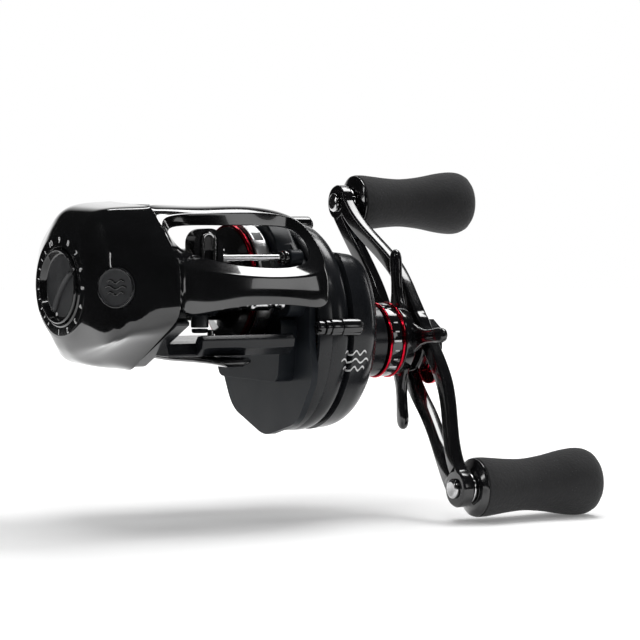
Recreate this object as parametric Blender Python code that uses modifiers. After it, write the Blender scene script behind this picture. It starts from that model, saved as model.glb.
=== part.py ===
"""Low-profile baitcasting reel, built as separate pieces around three parallel axes.

Frame: origin in the middle of the flat land under the reel foot, +X towards the handle,
-Y towards the line exit (front), +Z up. Lengths below are in millimetres.
"""

from math import acos, atan2, cos, hypot, pi, radians, sin, sqrt

import bmesh
import bpy
from mathutils import Vector

MM = 0.001
GAP = 0.3  # clearance kept between neighbouring pieces

# Driving dimensions
SPOOL_Z = 20.5  # spool axis above the foot land
DRIVE_Y, DRIVE_DZ = -7.3, -15.6  # handle axis from the spool axis
WORM_Y, WORM_DZ = -20.0, -4.0  # level-wind worm axis from the spool axis
ROD_Y, ROD_DZ = -22.6, 7.2  # guide rod axis from the spool axis
SPOOL_RADIUS = 16.1
SEAM_X = -19.0  # palm side plate meets the frame
DIAL_X = -36.4  # face of the palm side plate at the brake dial
DIAL_TILT = radians(6.5)  # dial axis leans this much towards the front
DIAL_RADIUS = 9.7
CASE_X0, CASE_X1 = 24.5, 28.3  # gear side ring, frame side and cover side
CASE_Y, CASE_DZ, CASE_RADIUS = -1.0, -11.7, 28.0  # round outline of the gear side
COLLAR_RADIUS = 10.2
HANDLE_HALF = 50.0  # handle axis to knob axis
HANDLE_TILT = radians(40.6)  # arm leans back from upright by this at rest
ARM_HUB_X, ARM_EYE_X = 64.2, 59.9  # middle of the arm's thickness at its hub and its eyes
ARM_THICK = 3.4
GEAR_TEETH, PINION_TEETH = 49, 9
WIND_TEETH, WORM_TEETH = 28, 10
STAR_RADIUS = 24.8
FOOT_HALF_WIDTH = 6.0
SIDES = 32  # facets of a large turned piece

SPOOL = (0.0, SPOOL_Z)  # (y, z) of each axis in the row frame
DRIVE = (DRIVE_Y, SPOOL_Z + DRIVE_DZ)
WORM = (WORM_Y, SPOOL_Z + WORM_DZ)
ROD = (ROD_Y, SPOOL_Z + ROD_DZ)
DRIVE_DISTANCE = hypot(DRIVE_Y, DRIVE_DZ)
DRIVE_MODULE = 2 * DRIVE_DISTANCE / (GEAR_TEETH + PINION_TEETH)
WORM_DISTANCE = hypot(WORM_Y - DRIVE_Y, WORM_DZ - DRIVE_DZ)
WORM_MODULE = 2 * WORM_DISTANCE / (WIND_TEETH + WORM_TEETH)
ARM_UP = (sin(HANDLE_TILT), cos(HANDLE_TILT))  # (y, z) from the hub to the upper knob
ARM_SIDE = (ARM_UP[1], -ARM_UP[0])


def remove_everything():
    for thing in list(bpy.data.objects):
        bpy.data.objects.remove(thing, do_unlink=True)


def collection(name):
    made = bpy.data.collections.new(name)
    bpy.context.scene.collection.children.link(made)
    return made


def material(name, colour, roughness, metallic=0.0):
    made = bpy.data.materials.new(name)
    made.use_nodes = True
    shader = made.node_tree.nodes["Principled BSDF"]
    shader.inputs["Base Color"].default_value = (*colour, 1.0)
    shader.inputs["Roughness"].default_value = roughness
    shader.inputs["Metallic"].default_value = metallic
    return made


remove_everything()
PARTS = collection("baitcasting_reel")
CUTTERS = collection("cutters")
GLOSS_BLACK = material("gloss_black", (0.006, 0.006, 0.007), 0.08)
SATIN_BLACK = material("satin_black", (0.02, 0.021, 0.023), 0.32)
RED_ANODISED = material("red_anodised", (0.55, 0.01, 0.03), 0.25, 1.0)
STEEL = material("steel", (0.6, 0.6, 0.6), 0.25, 1.0)
BRASS = material("brass", (0.75, 0.55, 0.22), 0.3, 1.0)
ALUMINIUM = material("aluminium", (0.7, 0.7, 0.72), 0.3, 1.0)
PLASTIC = material("black_plastic", (0.025, 0.025, 0.027), 0.5)
CARBON = material("carbon_fibre", (0.03, 0.03, 0.03), 0.55)
FOAM = material("eva_foam", (0.035, 0.035, 0.037), 0.9)
MAGNET = material("magnet", (0.5, 0.5, 0.5), 0.3, 1.0)


def add_object(name, bm, look, axis=SPOOL, helper=False):
    """A mesh object whose origin is on the given (y, z) axis; its points are relative to that."""
    mesh = bpy.data.meshes.new(name)
    bmesh.ops.recalc_face_normals(bm, faces=bm.faces)
    bmesh.ops.scale(bm, vec=(MM, MM, MM), verts=bm.verts)
    bm.to_mesh(mesh)
    bm.free()
    made = bpy.data.objects.new(name, mesh)
    made.location = (0.0, axis[0] * MM, axis[1] * MM)
    (CUTTERS if helper else PARTS).objects.link(made)
    if helper:
        made.hide_render = True
        made.display_type = "WIRE"
    else:
        mesh.materials.append(look)
        mesh.shade_smooth()
        mesh.set_sharp_from_angle(angle=radians(35))
    return made


def boolean(target, tool, operation="DIFFERENCE"):
    step = target.modifiers.new(operation.lower() + "_" + tool.name, "BOOLEAN")
    step.operation = operation
    step.solver = "EXACT"
    step.object = tool


def cut(target, *tools):
    for tool in tools:
        boolean(target, tool, "DIFFERENCE")


def join(target, *tools):
    for tool in tools:
        boolean(target, tool, "UNION")


def turned(name, profile, look=None, axis=SPOOL, sides=SIDES, centre=(0.0, 0.0), helper=False):
    """A profile of (x, radius) points spun about the X direction with a Screw modifier."""
    area = sum(
        a[0] * b[1] - b[0] * a[1] for a, b in zip(profile, profile[1:] + profile[:1])
    )
    if area < 0:
        profile = profile[::-1]
    closed = min(radius for _, radius in profile) > 0
    bm = bmesh.new()
    points = [bm.verts.new((x * MM, 0.0, radius * MM)) for x, radius in profile]
    pairs = list(zip(points, points[1:]))
    if closed:
        pairs.append((points[-1], points[0]))
    for pair in pairs:
        bm.edges.new(pair)
    mesh = bpy.data.meshes.new(name)
    bm.to_mesh(mesh)
    bm.free()
    made = bpy.data.objects.new(name, mesh)
    made.location = (0.0, (axis[0] + centre[0]) * MM, (axis[1] + centre[1]) * MM)
    (CUTTERS if helper else PARTS).objects.link(made)
    screw = made.modifiers.new("turn", "SCREW")
    screw.axis = "X"
    screw.steps = screw.render_steps = sides
    screw.use_merge_vertices = True
    screw.merge_threshold = 1e-6
    screw.use_smooth_shade = True
    if helper:
        made.hide_render = True
        made.display_type = "WIRE"
    else:
        mesh.materials.append(look)
    return made


def rod(name, x0, x1, radius, look=None, axis=SPOOL, sides=20, centre=(0.0, 0.0), helper=False):
    profile = [(x0, 0.0), (x0, radius), (x1, radius), (x1, 0.0)]
    return turned(name, profile, look, axis, sides, centre, helper)


def ring(name, x0, x1, inner, outer, look=None, axis=SPOOL, sides=24, helper=False):
    profile = [(x0, inner), (x0, outer), (x1, outer), (x1, inner)]
    return turned(name, profile, look, axis, sides, helper=helper)


def rounded(corners, segments=4):
    """Closed outline through (y, z, radius) corners, each rounded by a smooth bend."""
    points = []
    count = len(corners)
    for i, (y, z, radius) in enumerate(corners):
        here = Vector((y, z))
        back = (Vector(corners[i - 1][:2]) - here)
        ahead = (Vector(corners[(i + 1) % count][:2]) - here)
        a, b = back.normalized(), ahead.normalized()
        half = acos(max(-1.0, min(1.0, a.dot(b)))) / 2
        reach = min(radius / max(1e-6, sin(half)) * cos(half), back.length * 0.48, ahead.length * 0.48)
        start, end = here + a * reach, here + b * reach
        for k in range(segments + 1):
            t = k / segments
            points.append(tuple(start * (1 - t) ** 2 + here * 2 * t * (1 - t) + end * t ** 2))
    return points


def prism(name, outline, x0, x1, look=None, axis=SPOOL, helper=False):
    """A closed (y, z) outline extruded from x0 to x1."""
    bm = bmesh.new()
    face = bm.faces.new([bm.verts.new((x0, y, z)) for y, z in outline])
    grown = bmesh.ops.extrude_face_region(bm, geom=[face])["geom"]
    moved = [v for v in grown if isinstance(v, bmesh.types.BMVert)]
    bmesh.ops.translate(bm, vec=(x1 - x0, 0, 0), verts=moved)
    return add_object(name, bm, look, axis, helper)


def box(name, low, high, look=None, axis=SPOOL, helper=False):
    """A box between two (x, y, z) corners, which are relative to the axis."""
    bm = bmesh.new()
    bmesh.ops.create_cube(bm, size=1.0)
    size = [b - a for a, b in zip(low, high)]
    middle = [(a + b) / 2 for a, b in zip(low, high)]
    bmesh.ops.scale(bm, vec=size, verts=bm.verts)
    bmesh.ops.translate(bm, vec=middle, verts=bm.verts)
    return add_object(name, bm, look, axis, helper)


def upright(name, x, y, z0, z1, radius, look=None, axis=SPOOL, sides=20, helper=False):
    """A cylinder standing along Z."""
    bm = bmesh.new()
    bmesh.ops.create_cone(
        bm, cap_ends=True, segments=sides, radius1=radius, radius2=radius, depth=z1 - z0
    )
    bmesh.ops.translate(bm, vec=(x, y, (z0 + z1) / 2), verts=bm.verts)
    return add_object(name, bm, look, axis, helper)


def loft(name, rings, look=None, axis=SPOOL, caps=(True, True), helper=False):
    """Skin through rings of (x, y, z) points; every ring has the same number of points."""
    bm = bmesh.new()
    rows = [[bm.verts.new(point) for point in row] for row in rings]
    for low, high in zip(rows, rows[1:]):
        for i in range(len(low)):
            j = (i + 1) % len(low)
            bm.faces.new((low[i], low[j], high[j], high[i]))
    if caps[0]:
        bm.faces.new(rows[0])
    if caps[1]:
        bm.faces.new(rows[-1])
    return add_object(name, bm, look, axis, helper)


def shell(target, thickness):
    """Gives an open skin a wall that grows inwards."""
    wall = target.modifiers.new("wall", "SOLIDIFY")
    wall.thickness = thickness * MM
    wall.offset = -1.0
    wall.use_even_offset = True


def gear_outline(teeth, module, phase=0.0, root_to_tip=(1.15, 1.0), shrink=0.0):
    """Trapezoid teeth; phase turns the first tooth away from +Z."""
    pitch = teeth * module / 2
    tip, root = pitch + root_to_tip[1] * module, pitch - root_to_tip[0] * module
    step = 2 * pi / teeth
    outline = []
    for i in range(teeth):
        middle = phase + i * step
        for share, radius in ((-0.30, root), (-0.13, tip), (0.13, tip), (0.30, root)):
            angle = middle + share * step * (1 - shrink)
            outline.append((radius * sin(angle), radius * cos(angle)))
    return outline


def gear(name, teeth, module, x0, x1, look, axis, phase, bore, shrink=0.0):
    made = prism(name, gear_outline(teeth, module, phase, shrink=shrink), x0, x1, look, axis)
    cut(made, rod(name + "_bore", x0 - 1, x1 + 1, bore, axis=axis, helper=True))
    return made


# ---------------------------------------------------------------- palm side

PALM_CORNERS = {  # (y, z, corner radius) from the spool axis, clockwise from the nose
    -19.0: [(-36.6, 6.3, 5), (-19.0, 20.4, 8), (12.0, 22.3, 14), (31.0, 13.0, 12),
            (37.0, -1.0, 10), (28.0, -15.0, 10), (9.0, -22.0, 8), (-6.0, -22.0, 8),
            (-36.6, -7.2, 3)],
    -27.0: [(-29.9, 7.2, 5), (-15.5, 20.0, 8), (12.0, 21.6, 12), (28.5, 12.5, 12),
            (33.4, -1.0, 10), (25.5, -14.5, 10), (10.0, -21.0, 8), (-1.0, -21.0, 8),
            (-29.9, -10.4, 3)],
    -31.5: [(-26.0, 7.4, 5), (-13.0, 18.8, 8), (10.0, 20.0, 12), (23.2, 11.0, 10),
            (26.8, -1.0, 8), (21.0, -12.8, 8), (9.0, -19.4, 8), (0.5, -19.4, 8),
            (-25.9, -12.6, 3)],
    -34.6: [(-23.2, 6.6, 5), (-10.0, 15.4, 8), (7.0, 16.6, 9), (15.5, 9.2, 8),
            (17.4, -0.5, 6), (13.6, -10.0, 6), (5.5, -16.4, 6), (-1.0, -17.0, 6),
            (-22.2, -13.0, 3)],
}
DIAL_LEAN = sin(DIAL_TILT) / cos(DIAL_TILT)
BADGE_TURN = radians(39.8)  # the forward facet faces this much away from -X
BADGE_PLACE = (-31.3, -24.8, SPOOL_Z)


def palm_ring(x, segments=2):
    """One section of the palm plate; the outer ones lean with the dial."""
    lean = DIAL_LEAN * max(0.0, (-x - 27.0) / (-DIAL_X - 27.0))
    points = []
    for y, z in rounded(PALM_CORNERS[x], segments):
        points.append((x - lean * y, y, z))
    return points


def dial_ring(radius, depth):
    """A circle on the leaning dial face, sunk by depth, matched to the palm plate's points."""
    guide = palm_ring(-34.6)
    points = []
    for _, y, z in guide:
        length = hypot(y, z)
        y, z = radius * y / length, radius * z / length
        points.append((DIAL_X + depth - DIAL_LEAN * y, y, z))
    return points


def palm_side():
    xs = sorted(PALM_CORNERS, reverse=True)
    rings = [palm_ring(x) for x in xs]
    rings += [dial_ring(13.4, 0.0), dial_ring(11.4, 0.0), dial_ring(11.4, 1.8), dial_ring(3.0, 1.8)]
    plate = loft("palm_side_plate", rings, GLOSS_BLACK, caps=(False, False))
    shell(plate, 1.5)
    bezel = turned("dial_bezel", [(-0.25, DIAL_RADIUS + GAP), (-0.25, 11.0), (0.2, 12.0), (2.4, 12.0),
                                  (2.4, DIAL_RADIUS + GAP)], sides=36, helper=True)
    join(plate, bezel)
    cut(plate, box("seam_trim", (SEAM_X, -60, -60), (0, 60, 60), helper=True))

    # Brake dial on its leaning axis, with a raised rim, a thumb recess and a curved grip rib
    face, rim = -0.5, -1.1
    radius = DIAL_RADIUS
    profile = [(1.5, 0.0), (1.5, radius), (rim + 0.2, radius), (rim, radius - 0.25),
               (rim, radius - 0.9), (face, radius - 1.2), (face, 0.0)]
    dial = turned("brake_dial", profile, GLOSS_BLACK, sides=36)
    rib_middle = [(-6.6 + 2.5 * k - 0.2 * k * (k - 4), 4.1 - 2.7 * k - 0.2 * k * (k - 4)) for k in range(5)]
    rib = []
    for side in (1, -1):
        run = rib_middle if side == 1 else rib_middle[::-1]
        rib += [(y + side * 0.73, z + side * 0.68) for y, z in run]
    raised = prism("dial_rib", rib, rim - 0.2, face + 0.4, helper=True)
    scoop = turned("dial_scoop", [(-3.0, 0.0), (-3.0, 5.0), (0.2, 4.2), (0.2, 0.0)],
                   sides=28, centre=(3.9, 2.1), helper=True)
    spindle = rod("dial_spindle", 1.2, 5.0, 2.4, helper=True)
    cut(dial, scoop)
    join(dial, raised, spindle)
    for piece in (dial, raised, scoop, spindle, bezel):
        y, z = piece.location.y, piece.location.z
        offset = y / MM
        piece.rotation_euler = (0.0, 0.0, DIAL_TILT)
        piece.location = (
            (DIAL_X - offset * sin(DIAL_TILT)) * MM,
            offset * cos(DIAL_TILT) * MM,
            z,
        )

    # Round badge let into the forward facet
    badge = turned(
        "side_badge",
        [(0.2, 0.0), (0.2, 5.0), (-0.45, 5.0), (-0.65, 4.8), (-0.65, 4.5), (-0.4, 4.3), (-0.4, 0.0)],
        SATIN_BLACK, sides=36,
    )
    pocket = rod("badge_pocket", -3.0, 0.55, 5.3, sides=36, helper=True)
    for piece in (badge, pocket):
        piece.rotation_euler = (0.0, 0.0, BADGE_TURN)
        piece.location = tuple(value * MM for value in BADGE_PLACE)
    cut(plate, pocket)

    # Brake and bearing inside the plate
    ring("palm_bearing", -27.0, -24.0, 1.5, 5.0, STEEL)
    turned("magnet_carrier", [(-26.6, 5.3), (-26.6, 6.6), (-20.9, 6.6), (-20.9, 13.0), (-19.4, 13.0),
                              (-19.4, 5.3)], PLASTIC, sides=24)
    ring("brake_magnet", -19.1, -17.6, 8.2, 12.2, MAGNET)


# ---------------------------------------------------------------- frame

FOOT_SCREW_Y = (-13.5, 13.5)
THUMB_TRAVEL = 5.0
YOKE_POST_Y, YOKE_POST_DZ = 8.4, 3.3
PALM_WALL = [(-30.2, 2.6, 3), (-18.4, 13.6, 5), (-10.8, 16.0, 1), (-10.2, 21.0, 1), (12.0, 21.6, 13),
             (30.2, 12.6, 12), (36.0, -1.0, 10), (27.2, -14.6, 10), (9.0, -21.2, 8),
             (-6.0, -21.2, 8), (-34.8, -8.9, 1), (-31.6, -7.9, 0.5)]
GEAR_WALL = [(-26.2, 1.0, 3), (-21.0, 6.4, 3), (-9.6, 15.6, 2), (-8.0, 17.8, 2), (12.0, 18.0, 10),
             (28.0, 12.0, 10), (32.0, -3.0, 9), (28.6, -20.0, 8), (20.0, -34.6, 12),
             (0.0, -41.2, 14), (-19.0, -36.4, 12), (-28.2, -24.0, 9), (-26.2, -14.0, 4)]
FRONT_BAR = [(-26.4, -13.6), (-25.2, -12.4), (-22.8, -12.8), (-21.0, -14.9), (-18.0, -15.5),
             (-18.0, -17.9), (-22.5, -17.9), (-25.8, -15.8)]
DECK = [(-22.5, -17.9), (22.0, -17.9), (24.0, -16.4), (24.0, -14.6), (-21.0, -14.6)]
REAR_TIE = [(18.6, -9.4, 1), (24.0, -9.4, 2), (25.0, -4.4, 2), (18.4, -4.4, 1)]


def frame():
    body = prism("frame", rounded(PALM_WALL, 3), SEAM_X + GAP, -15.4, SATIN_BLACK)
    join(
        body,
        prism("gear_wall", rounded(GEAR_WALL, 3), 22.4, 24.2, helper=True),
        rod("spool_seat", 17.6, 23.0, 19.0, sides=36, helper=True),
        prism("gear_lower", rounded([(-19.5, -8.6, 2), (16.0, -9.0, 2), (20.0, -25.6, 3),
                                     (-17.0, -25.6, 3)], 2), 17.7, 23.1, helper=True),
        prism("deck", DECK, -15.9, 18.1, helper=True),
        prism("front_bar", FRONT_BAR, -8.2, 18.2, helper=True),
        prism("rear_tie", rounded(REAR_TIE, 2), -16.0, 18.3, helper=True),
        rod("worm_lug", 17.9, 22.9, 4.3, axis=WORM, helper=True),
        rod("rod_lug", 18.0, 21.9, 2.1, axis=ROD, sides=16, helper=True),
        box("rod_web", (19.0, -23.0, 5.8), (21.8, -17.0, 8.6), helper=True),
    )
    cut(
        body,
        rod("spool_room", -15.0, 17.5, SPOOL_RADIUS + 0.8, sides=40, helper=True),
        rod("palm_opening", -25.0, -14.0, SPOOL_RADIUS + 0.9, sides=40, helper=True),
        rod("gear_recess", 13.0, 19.9, 15.5, sides=SIDES, helper=True),
        rod("bearing_seat", 15.0, 30.0, 5.3, helper=True),
        rod("shaft_seat", 20.4, 30.0, 5.3, axis=DRIVE, helper=True),
        rod("worm_bore_gear", 15.0, 30.0, 1.75, axis=WORM, helper=True),
        rod("worm_bore_palm", -30.0, -14.0, 1.55, axis=WORM, helper=True),
        rod("rod_bore_gear", 15.0, 21.2, 1.2, axis=ROD, sides=16, helper=True),
        rod("rod_bore_palm", -17.4, -14.0, 1.2, axis=ROD, sides=16, helper=True),
        box("cam_slot", (15.0, 19.0, 2.2 - THUMB_TRAVEL), (30.0, 23.2, 6.2), helper=True),
    )
    for y in (-YOKE_POST_Y, YOKE_POST_Y):  # clutch yoke posts with their end discs
        join(body, turned("yoke_post", [(23.0, 0.0), (23.0, 0.85), (39.7, 0.85), (39.7, 1.6), (40.2, 1.6),
                                        (40.2, 0.0)], sides=12, centre=(y, YOKE_POST_DZ), helper=True))
    for y in FOOT_SCREW_Y:
        cut(body, upright("deck_hole", 0.0, y, -19.0, -9.0, 1.25, sides=12, helper=True))


def reel_foot():
    """A thin plate with a saddle underside; its flat land lies on the rod."""
    half, top = FOOT_HALF_WIDTH, 2.2
    front, rear = -28.0, 31.0
    stations = [(front, 4.6, 1.6), (front + 2.0, half, 1.9), (-16.0, half, top), (0.0, half, top),
                (18.0, half, top), (rear - 2.0, half, 1.9), (rear, 4.6, 1.6)]
    rings = []
    for y, width, height in stations:
        low = 0.0
        land = 2.2
        rise = 0.9 if abs(y) > 12 else 0.5
        rings.append([(-width, y, rise), (-land, y, low), (land, y, low), (width, y, rise),
                      (width, y, height), (-width, y, height)])
    foot = loft("reel_foot", rings, GLOSS_BLACK, axis=(0.0, 0.0))
    for y in FOOT_SCREW_Y:
        cut(foot, upright("foot_hole", 0.0, y, -1.0, 4.0, 1.25, axis=(0.0, 0.0), helper=True))
        cut(foot, upright("foot_sink", 0.0, y, -1.0, 1.15, 2.3, axis=(0.0, 0.0), helper=True))
    for name, y in zip(("foot_screw_front", "foot_screw_rear"), FOOT_SCREW_Y):
        head = upright(name, 0.0, y, 0.35, 0.95, 1.95, STEEL, axis=(0.0, 0.0))
        shank = upright(name + "_shank", 0.0, y, 0.9, 9.0, 0.9, axis=(0.0, 0.0), helper=True)
        join(head, shank)


# ---------------------------------------------------------------- front cowl

# Stations around the line window: four points each, from the outer edge to the window edge.
COWL = [
    [(-18.6, -34.6, -7.2), (-18.6, -36.0, -2.0), (-18.4, -34.6, 5.0), (-14.4, -27.4, 9.2)],
    [(-10.5, -32.5, -6.3), (-10.5, -33.0, -2.0), (-10.5, -31.8, 4.2), (-9.0, -27.6, 7.4)],
    [(0.0, -30.4, -4.9), (0.0, -30.9, -1.6), (0.0, -30.4, 2.8), (0.0, -27.3, 5.4)],
    [(10.0, -30.0, -4.5), (10.0, -30.5, -1.4), (10.0, -30.0, 2.1), (10.0, -27.2, 4.4)],
    [(19.0, -30.3, -5.0), (19.0, -30.8, -1.8), (19.0, -30.2, 2.4), (18.4, -27.2, 4.6)],
    [(26.6, -30.7, -6.6), (26.8, -31.2, -2.0), (26.0, -30.2, 3.4), (22.8, -26.8, 6.6)],
    [(27.0, -27.6, 5.2), (26.9, -26.9, 7.6), (25.8, -25.4, 10.4), (23.6, -23.6, 10.8)],
    [(26.0, -19.8, 13.2), (25.4, -19.8, 15.0), (24.4, -19.6, 15.8), (22.6, -18.9, 13.8)],
    [(23.4, -11.5, 18.8), (22.6, -14.5, 19.2), (21.4, -17.2, 18.2), (20.4, -17.9, 15.6)],
    [(11.0, -10.8, 21.2), (11.0, -14.6, 21.2), (11.0, -18.2, 19.2), (11.0, -18.3, 15.6)],
    [(-3.0, -10.8, 20.4), (-3.0, -15.0, 20.2), (-3.0, -18.6, 18.6), (-3.0, -18.7, 15.6)],
    [(-18.6, -11.5, 21.4), (-18.6, -16.4, 20.6), (-17.6, -19.6, 18.4), (-15.6, -18.8, 15.6)],
    [(-18.6, -19.2, 19.0), (-18.6, -22.6, 16.0), (-17.8, -24.2, 13.6), (-15.4, -22.4, 12.6)],
    [(-18.6, -36.0, 2.6), (-18.6, -31.5, 8.8), (-18.0, -28.8, 11.0), (-15.2, -25.8, 10.6)],
]


def front_cowl():
    bm = bmesh.new()
    rows = [[bm.verts.new(point) for point in station] for station in COWL]
    for this, other in zip(rows, rows[1:] + rows[:1]):
        for i in range(3):
            bm.faces.new((this[i], this[i + 1], other[i + 1], other[i]))
    cowl = add_object("front_cowl", bm, GLOSS_BLACK)
    smooth = cowl.modifiers.new("smooth", "SUBSURF")
    smooth.levels = smooth.render_levels = 1
    wall = cowl.modifiers.new("wall", "SOLIDIFY")
    wall.thickness = 1.5 * MM
    wall.offset = -1.0


# ---------------------------------------------------------------- gear side

CASE_ANGLES = 32
TENSION_X = 44.2  # underside of the cast control cap's rim
BOSS = (-29.7, SPOOL_Z - 10.9)  # screw boss on the front of the case


def case_radius(angle, top, hump):
    """Distance from the drive axis to the gear side outline; angle runs from +Z towards +Y."""
    uy, uz = sin(angle), cos(angle)
    oy, oz = CASE_Y - DRIVE_Y, CASE_DZ - DRIVE_DZ
    along = oy * uy + oz * uz
    reach = along + sqrt(along ** 2 - oy ** 2 - oz ** 2 + CASE_RADIUS ** 2)
    if hump:
        for cy, cz, radius in ((6.0 - DRIVE_Y, 4.3 - DRIVE_DZ, 14.0), (17.0 - DRIVE_Y, 0.0 - DRIVE_DZ, 15.0)):
            along = cy * uy + cz * uz
            inside = along ** 2 - cy ** 2 - cz ** 2 + radius ** 2
            if inside > 0 and along > 0:
                reach = max(reach, along + sqrt(inside))
    if uz > 0 and top is not None:
        reach = min(reach, (top - DRIVE_DZ) / uz)
    return reach


def case_ring(x, top=None, hump=False, scale=1.0, inset=0.0):
    points = []
    for k in range(CASE_ANGLES):
        angle = 2 * pi * k / CASE_ANGLES
        reach = case_radius(angle, top, hump) * scale - inset
        points.append((x, reach * sin(angle), reach * cos(angle)))
    return points


def round_ring(x, radius):
    steps = [2 * pi * k / CASE_ANGLES for k in range(CASE_ANGLES)]
    return [(x, radius * sin(a), radius * cos(a)) for a in steps]


def gear_side():
    outer = [case_ring(CASE_X0, hump=True), case_ring(CASE_X1 - GAP, hump=True)]
    band = loft("gear_side_ring", outer, SATIN_BLACK, axis=DRIVE)
    hollow = loft("ring_hollow", [case_ring(CASE_X0 - 3, hump=True, inset=1.7),
                                  case_ring(CASE_X1 + 3, hump=True, inset=1.7)],
                  axis=DRIVE, helper=True)
    cut(band, hollow)

    # Cover: the outer form, less a cavity, plus a bearing sleeve and the tension cap's boss
    cover = loft("gear_side_cover", [
        case_ring(CASE_X1, hump=True),
        case_ring(31.6, hump=True),
        case_ring(33.4, hump=True, inset=1.2),
        case_ring(34.6, top=8.4, inset=0.4),
        case_ring(38.0, top=8.4, inset=0.5),
        case_ring(41.4, top=7.4, inset=2.0),
        case_ring(43.8, top=6.6, scale=0.93, inset=3.6),
        case_ring(45.4, top=5.8, scale=0.72, inset=2.6),
        round_ring(46.0, COLLAR_RADIUS + 1.2),
        round_ring(46.6, COLLAR_RADIUS - 0.3),
        round_ring(51.3, COLLAR_RADIUS - 0.3),
    ], SATIN_BLACK, axis=DRIVE)
    cavity = loft("cover_cavity", [
        case_ring(CASE_X1 - 1.0, hump=True, inset=1.4),
        case_ring(32.0, hump=True, inset=1.7),
        case_ring(33.2, top=8.0, inset=1.9),
        case_ring(38.0, top=8.0, inset=2.0),
        case_ring(40.3, top=7.6, inset=2.7),
        case_ring(42.2, top=6.3, scale=0.93, inset=4.2),
        case_ring(43.8, top=5.0, scale=0.72, inset=3.4),
    ], axis=DRIVE, helper=True)
    cut(cover, cavity)
    join(
        cover,
        rod("cover_sleeve", 38.0, 47.4, 9.2, axis=DRIVE, sides=24, helper=True),
        rod("cap_boss", 40.7, TENSION_X + 0.7, 6.55, sides=28, helper=True),
        turned("rear_boss", [(31.0, 0.0), (31.0, 2.2), (39.2, 2.2), (40.0, 1.4), (40.0, 0.0)],
               sides=18, centre=(6.0, 15.9), helper=True),
    )
    cut(
        cover,
        rod("cover_bore", 30.0, 60.0, 7.9, axis=DRIVE, sides=24, helper=True),
        rod("cap_pocket", TENSION_X - GAP, 60.0, 5.95, sides=28, helper=True),
        rod("cap_bore", 30.0, 60.0, 3.5, sides=20, helper=True),
    )

    # One screw boss on the front of the case, split at the seam
    hole = rod("boss_hole", 20.0, 34.0, 1.2, axis=BOSS, sides=16, helper=True)
    join(band, rod("ring_boss", CASE_X0 + 0.2, CASE_X1 - GAP - 0.2, 2.3, axis=BOSS, helper=True))
    join(cover, turned("cover_boss", [(CASE_X1 + 0.2, 0.0), (CASE_X1 + 0.2, 2.3), (35.2, 2.3), (36.0, 1.6),
                                     (36.0, 0.0)],
                       axis=BOSS, sides=18, helper=True))
    cut(band, hole)
    cut(cover, hole)
    head = turned("case_screw", [(22.6, 0.0), (22.6, 1.7), (22.8, 1.9), (24.2, 1.9), (24.2, 0.85),
                                 (33.0, 0.85), (33.0, 0.0)], STEEL, axis=BOSS, sides=20)
    cut(head, box("case_screw_slot", (22.0, -2.5, -0.3), (23.2, 2.5, 0.3), axis=BOSS, helper=True))


# ---------------------------------------------------------------- spool and brake rotor

def spool_group():
    flange = SPOOL_RADIUS - 0.2
    profile = [
        (-12.4, 8.0), (-12.4, flange), (-11.1, flange), (-10.6, 12.0), (-9.4, 9.6), (9.4, 9.6),
        (10.6, 12.0), (11.1, flange), (11.1, 15.1), (12.6, 15.1), (12.6, 14.2), (11.6, 13.4),
        (11.2, 8.2), (1.2, 7.8), (1.2, 3.0), (12.6, 3.0), (12.6, 1.5), (-12.4, 1.5), (-12.4, 3.0),
        (-1.2, 3.0), (-1.2, 7.8), (-11.2, 8.0),
    ]
    turned("spool", profile, GLOSS_BLACK, sides=28)
    ring("spool_trim_ring", 11.4, 12.4, 15.4, SPOOL_RADIUS, RED_ANODISED, sides=30)
    shaft = turned("spool_shaft", [(-27.4, 0.0), (-27.4, 1.2), (40.6, 1.2), (41.0, 0.9), (41.0, 0.0)],
                   STEEL, sides=16)
    join(shaft, upright("clutch_pin", 26.9, 0.0, -2.9, 2.9, 0.55, sides=10, helper=True))
    turned("brake_rotor", [(-15.8, 8.6), (-15.8, 9.6), (-13.7, 9.6), (-13.7, 12.2), (-12.7, 12.2),
                           (-12.7, 3.2), (-13.7, 3.2), (-13.7, 8.6)], ALUMINIUM, sides=24)
    ring("spool_bearing", 20.6, 23.6, 1.5, 5.0, STEEL, sides=28)
    turned("line_ring", [(13.2, 15.6), (13.2, 16.3), (13.4, 16.5), (16.9, 16.5), (17.2, 16.3),
                         (17.2, 15.1), (19.5, 15.1), (19.5, 14.2), (14.2, 15.0)],
           STEEL, sides=30)


# ---------------------------------------------------------------- drive train and clutch

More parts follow.
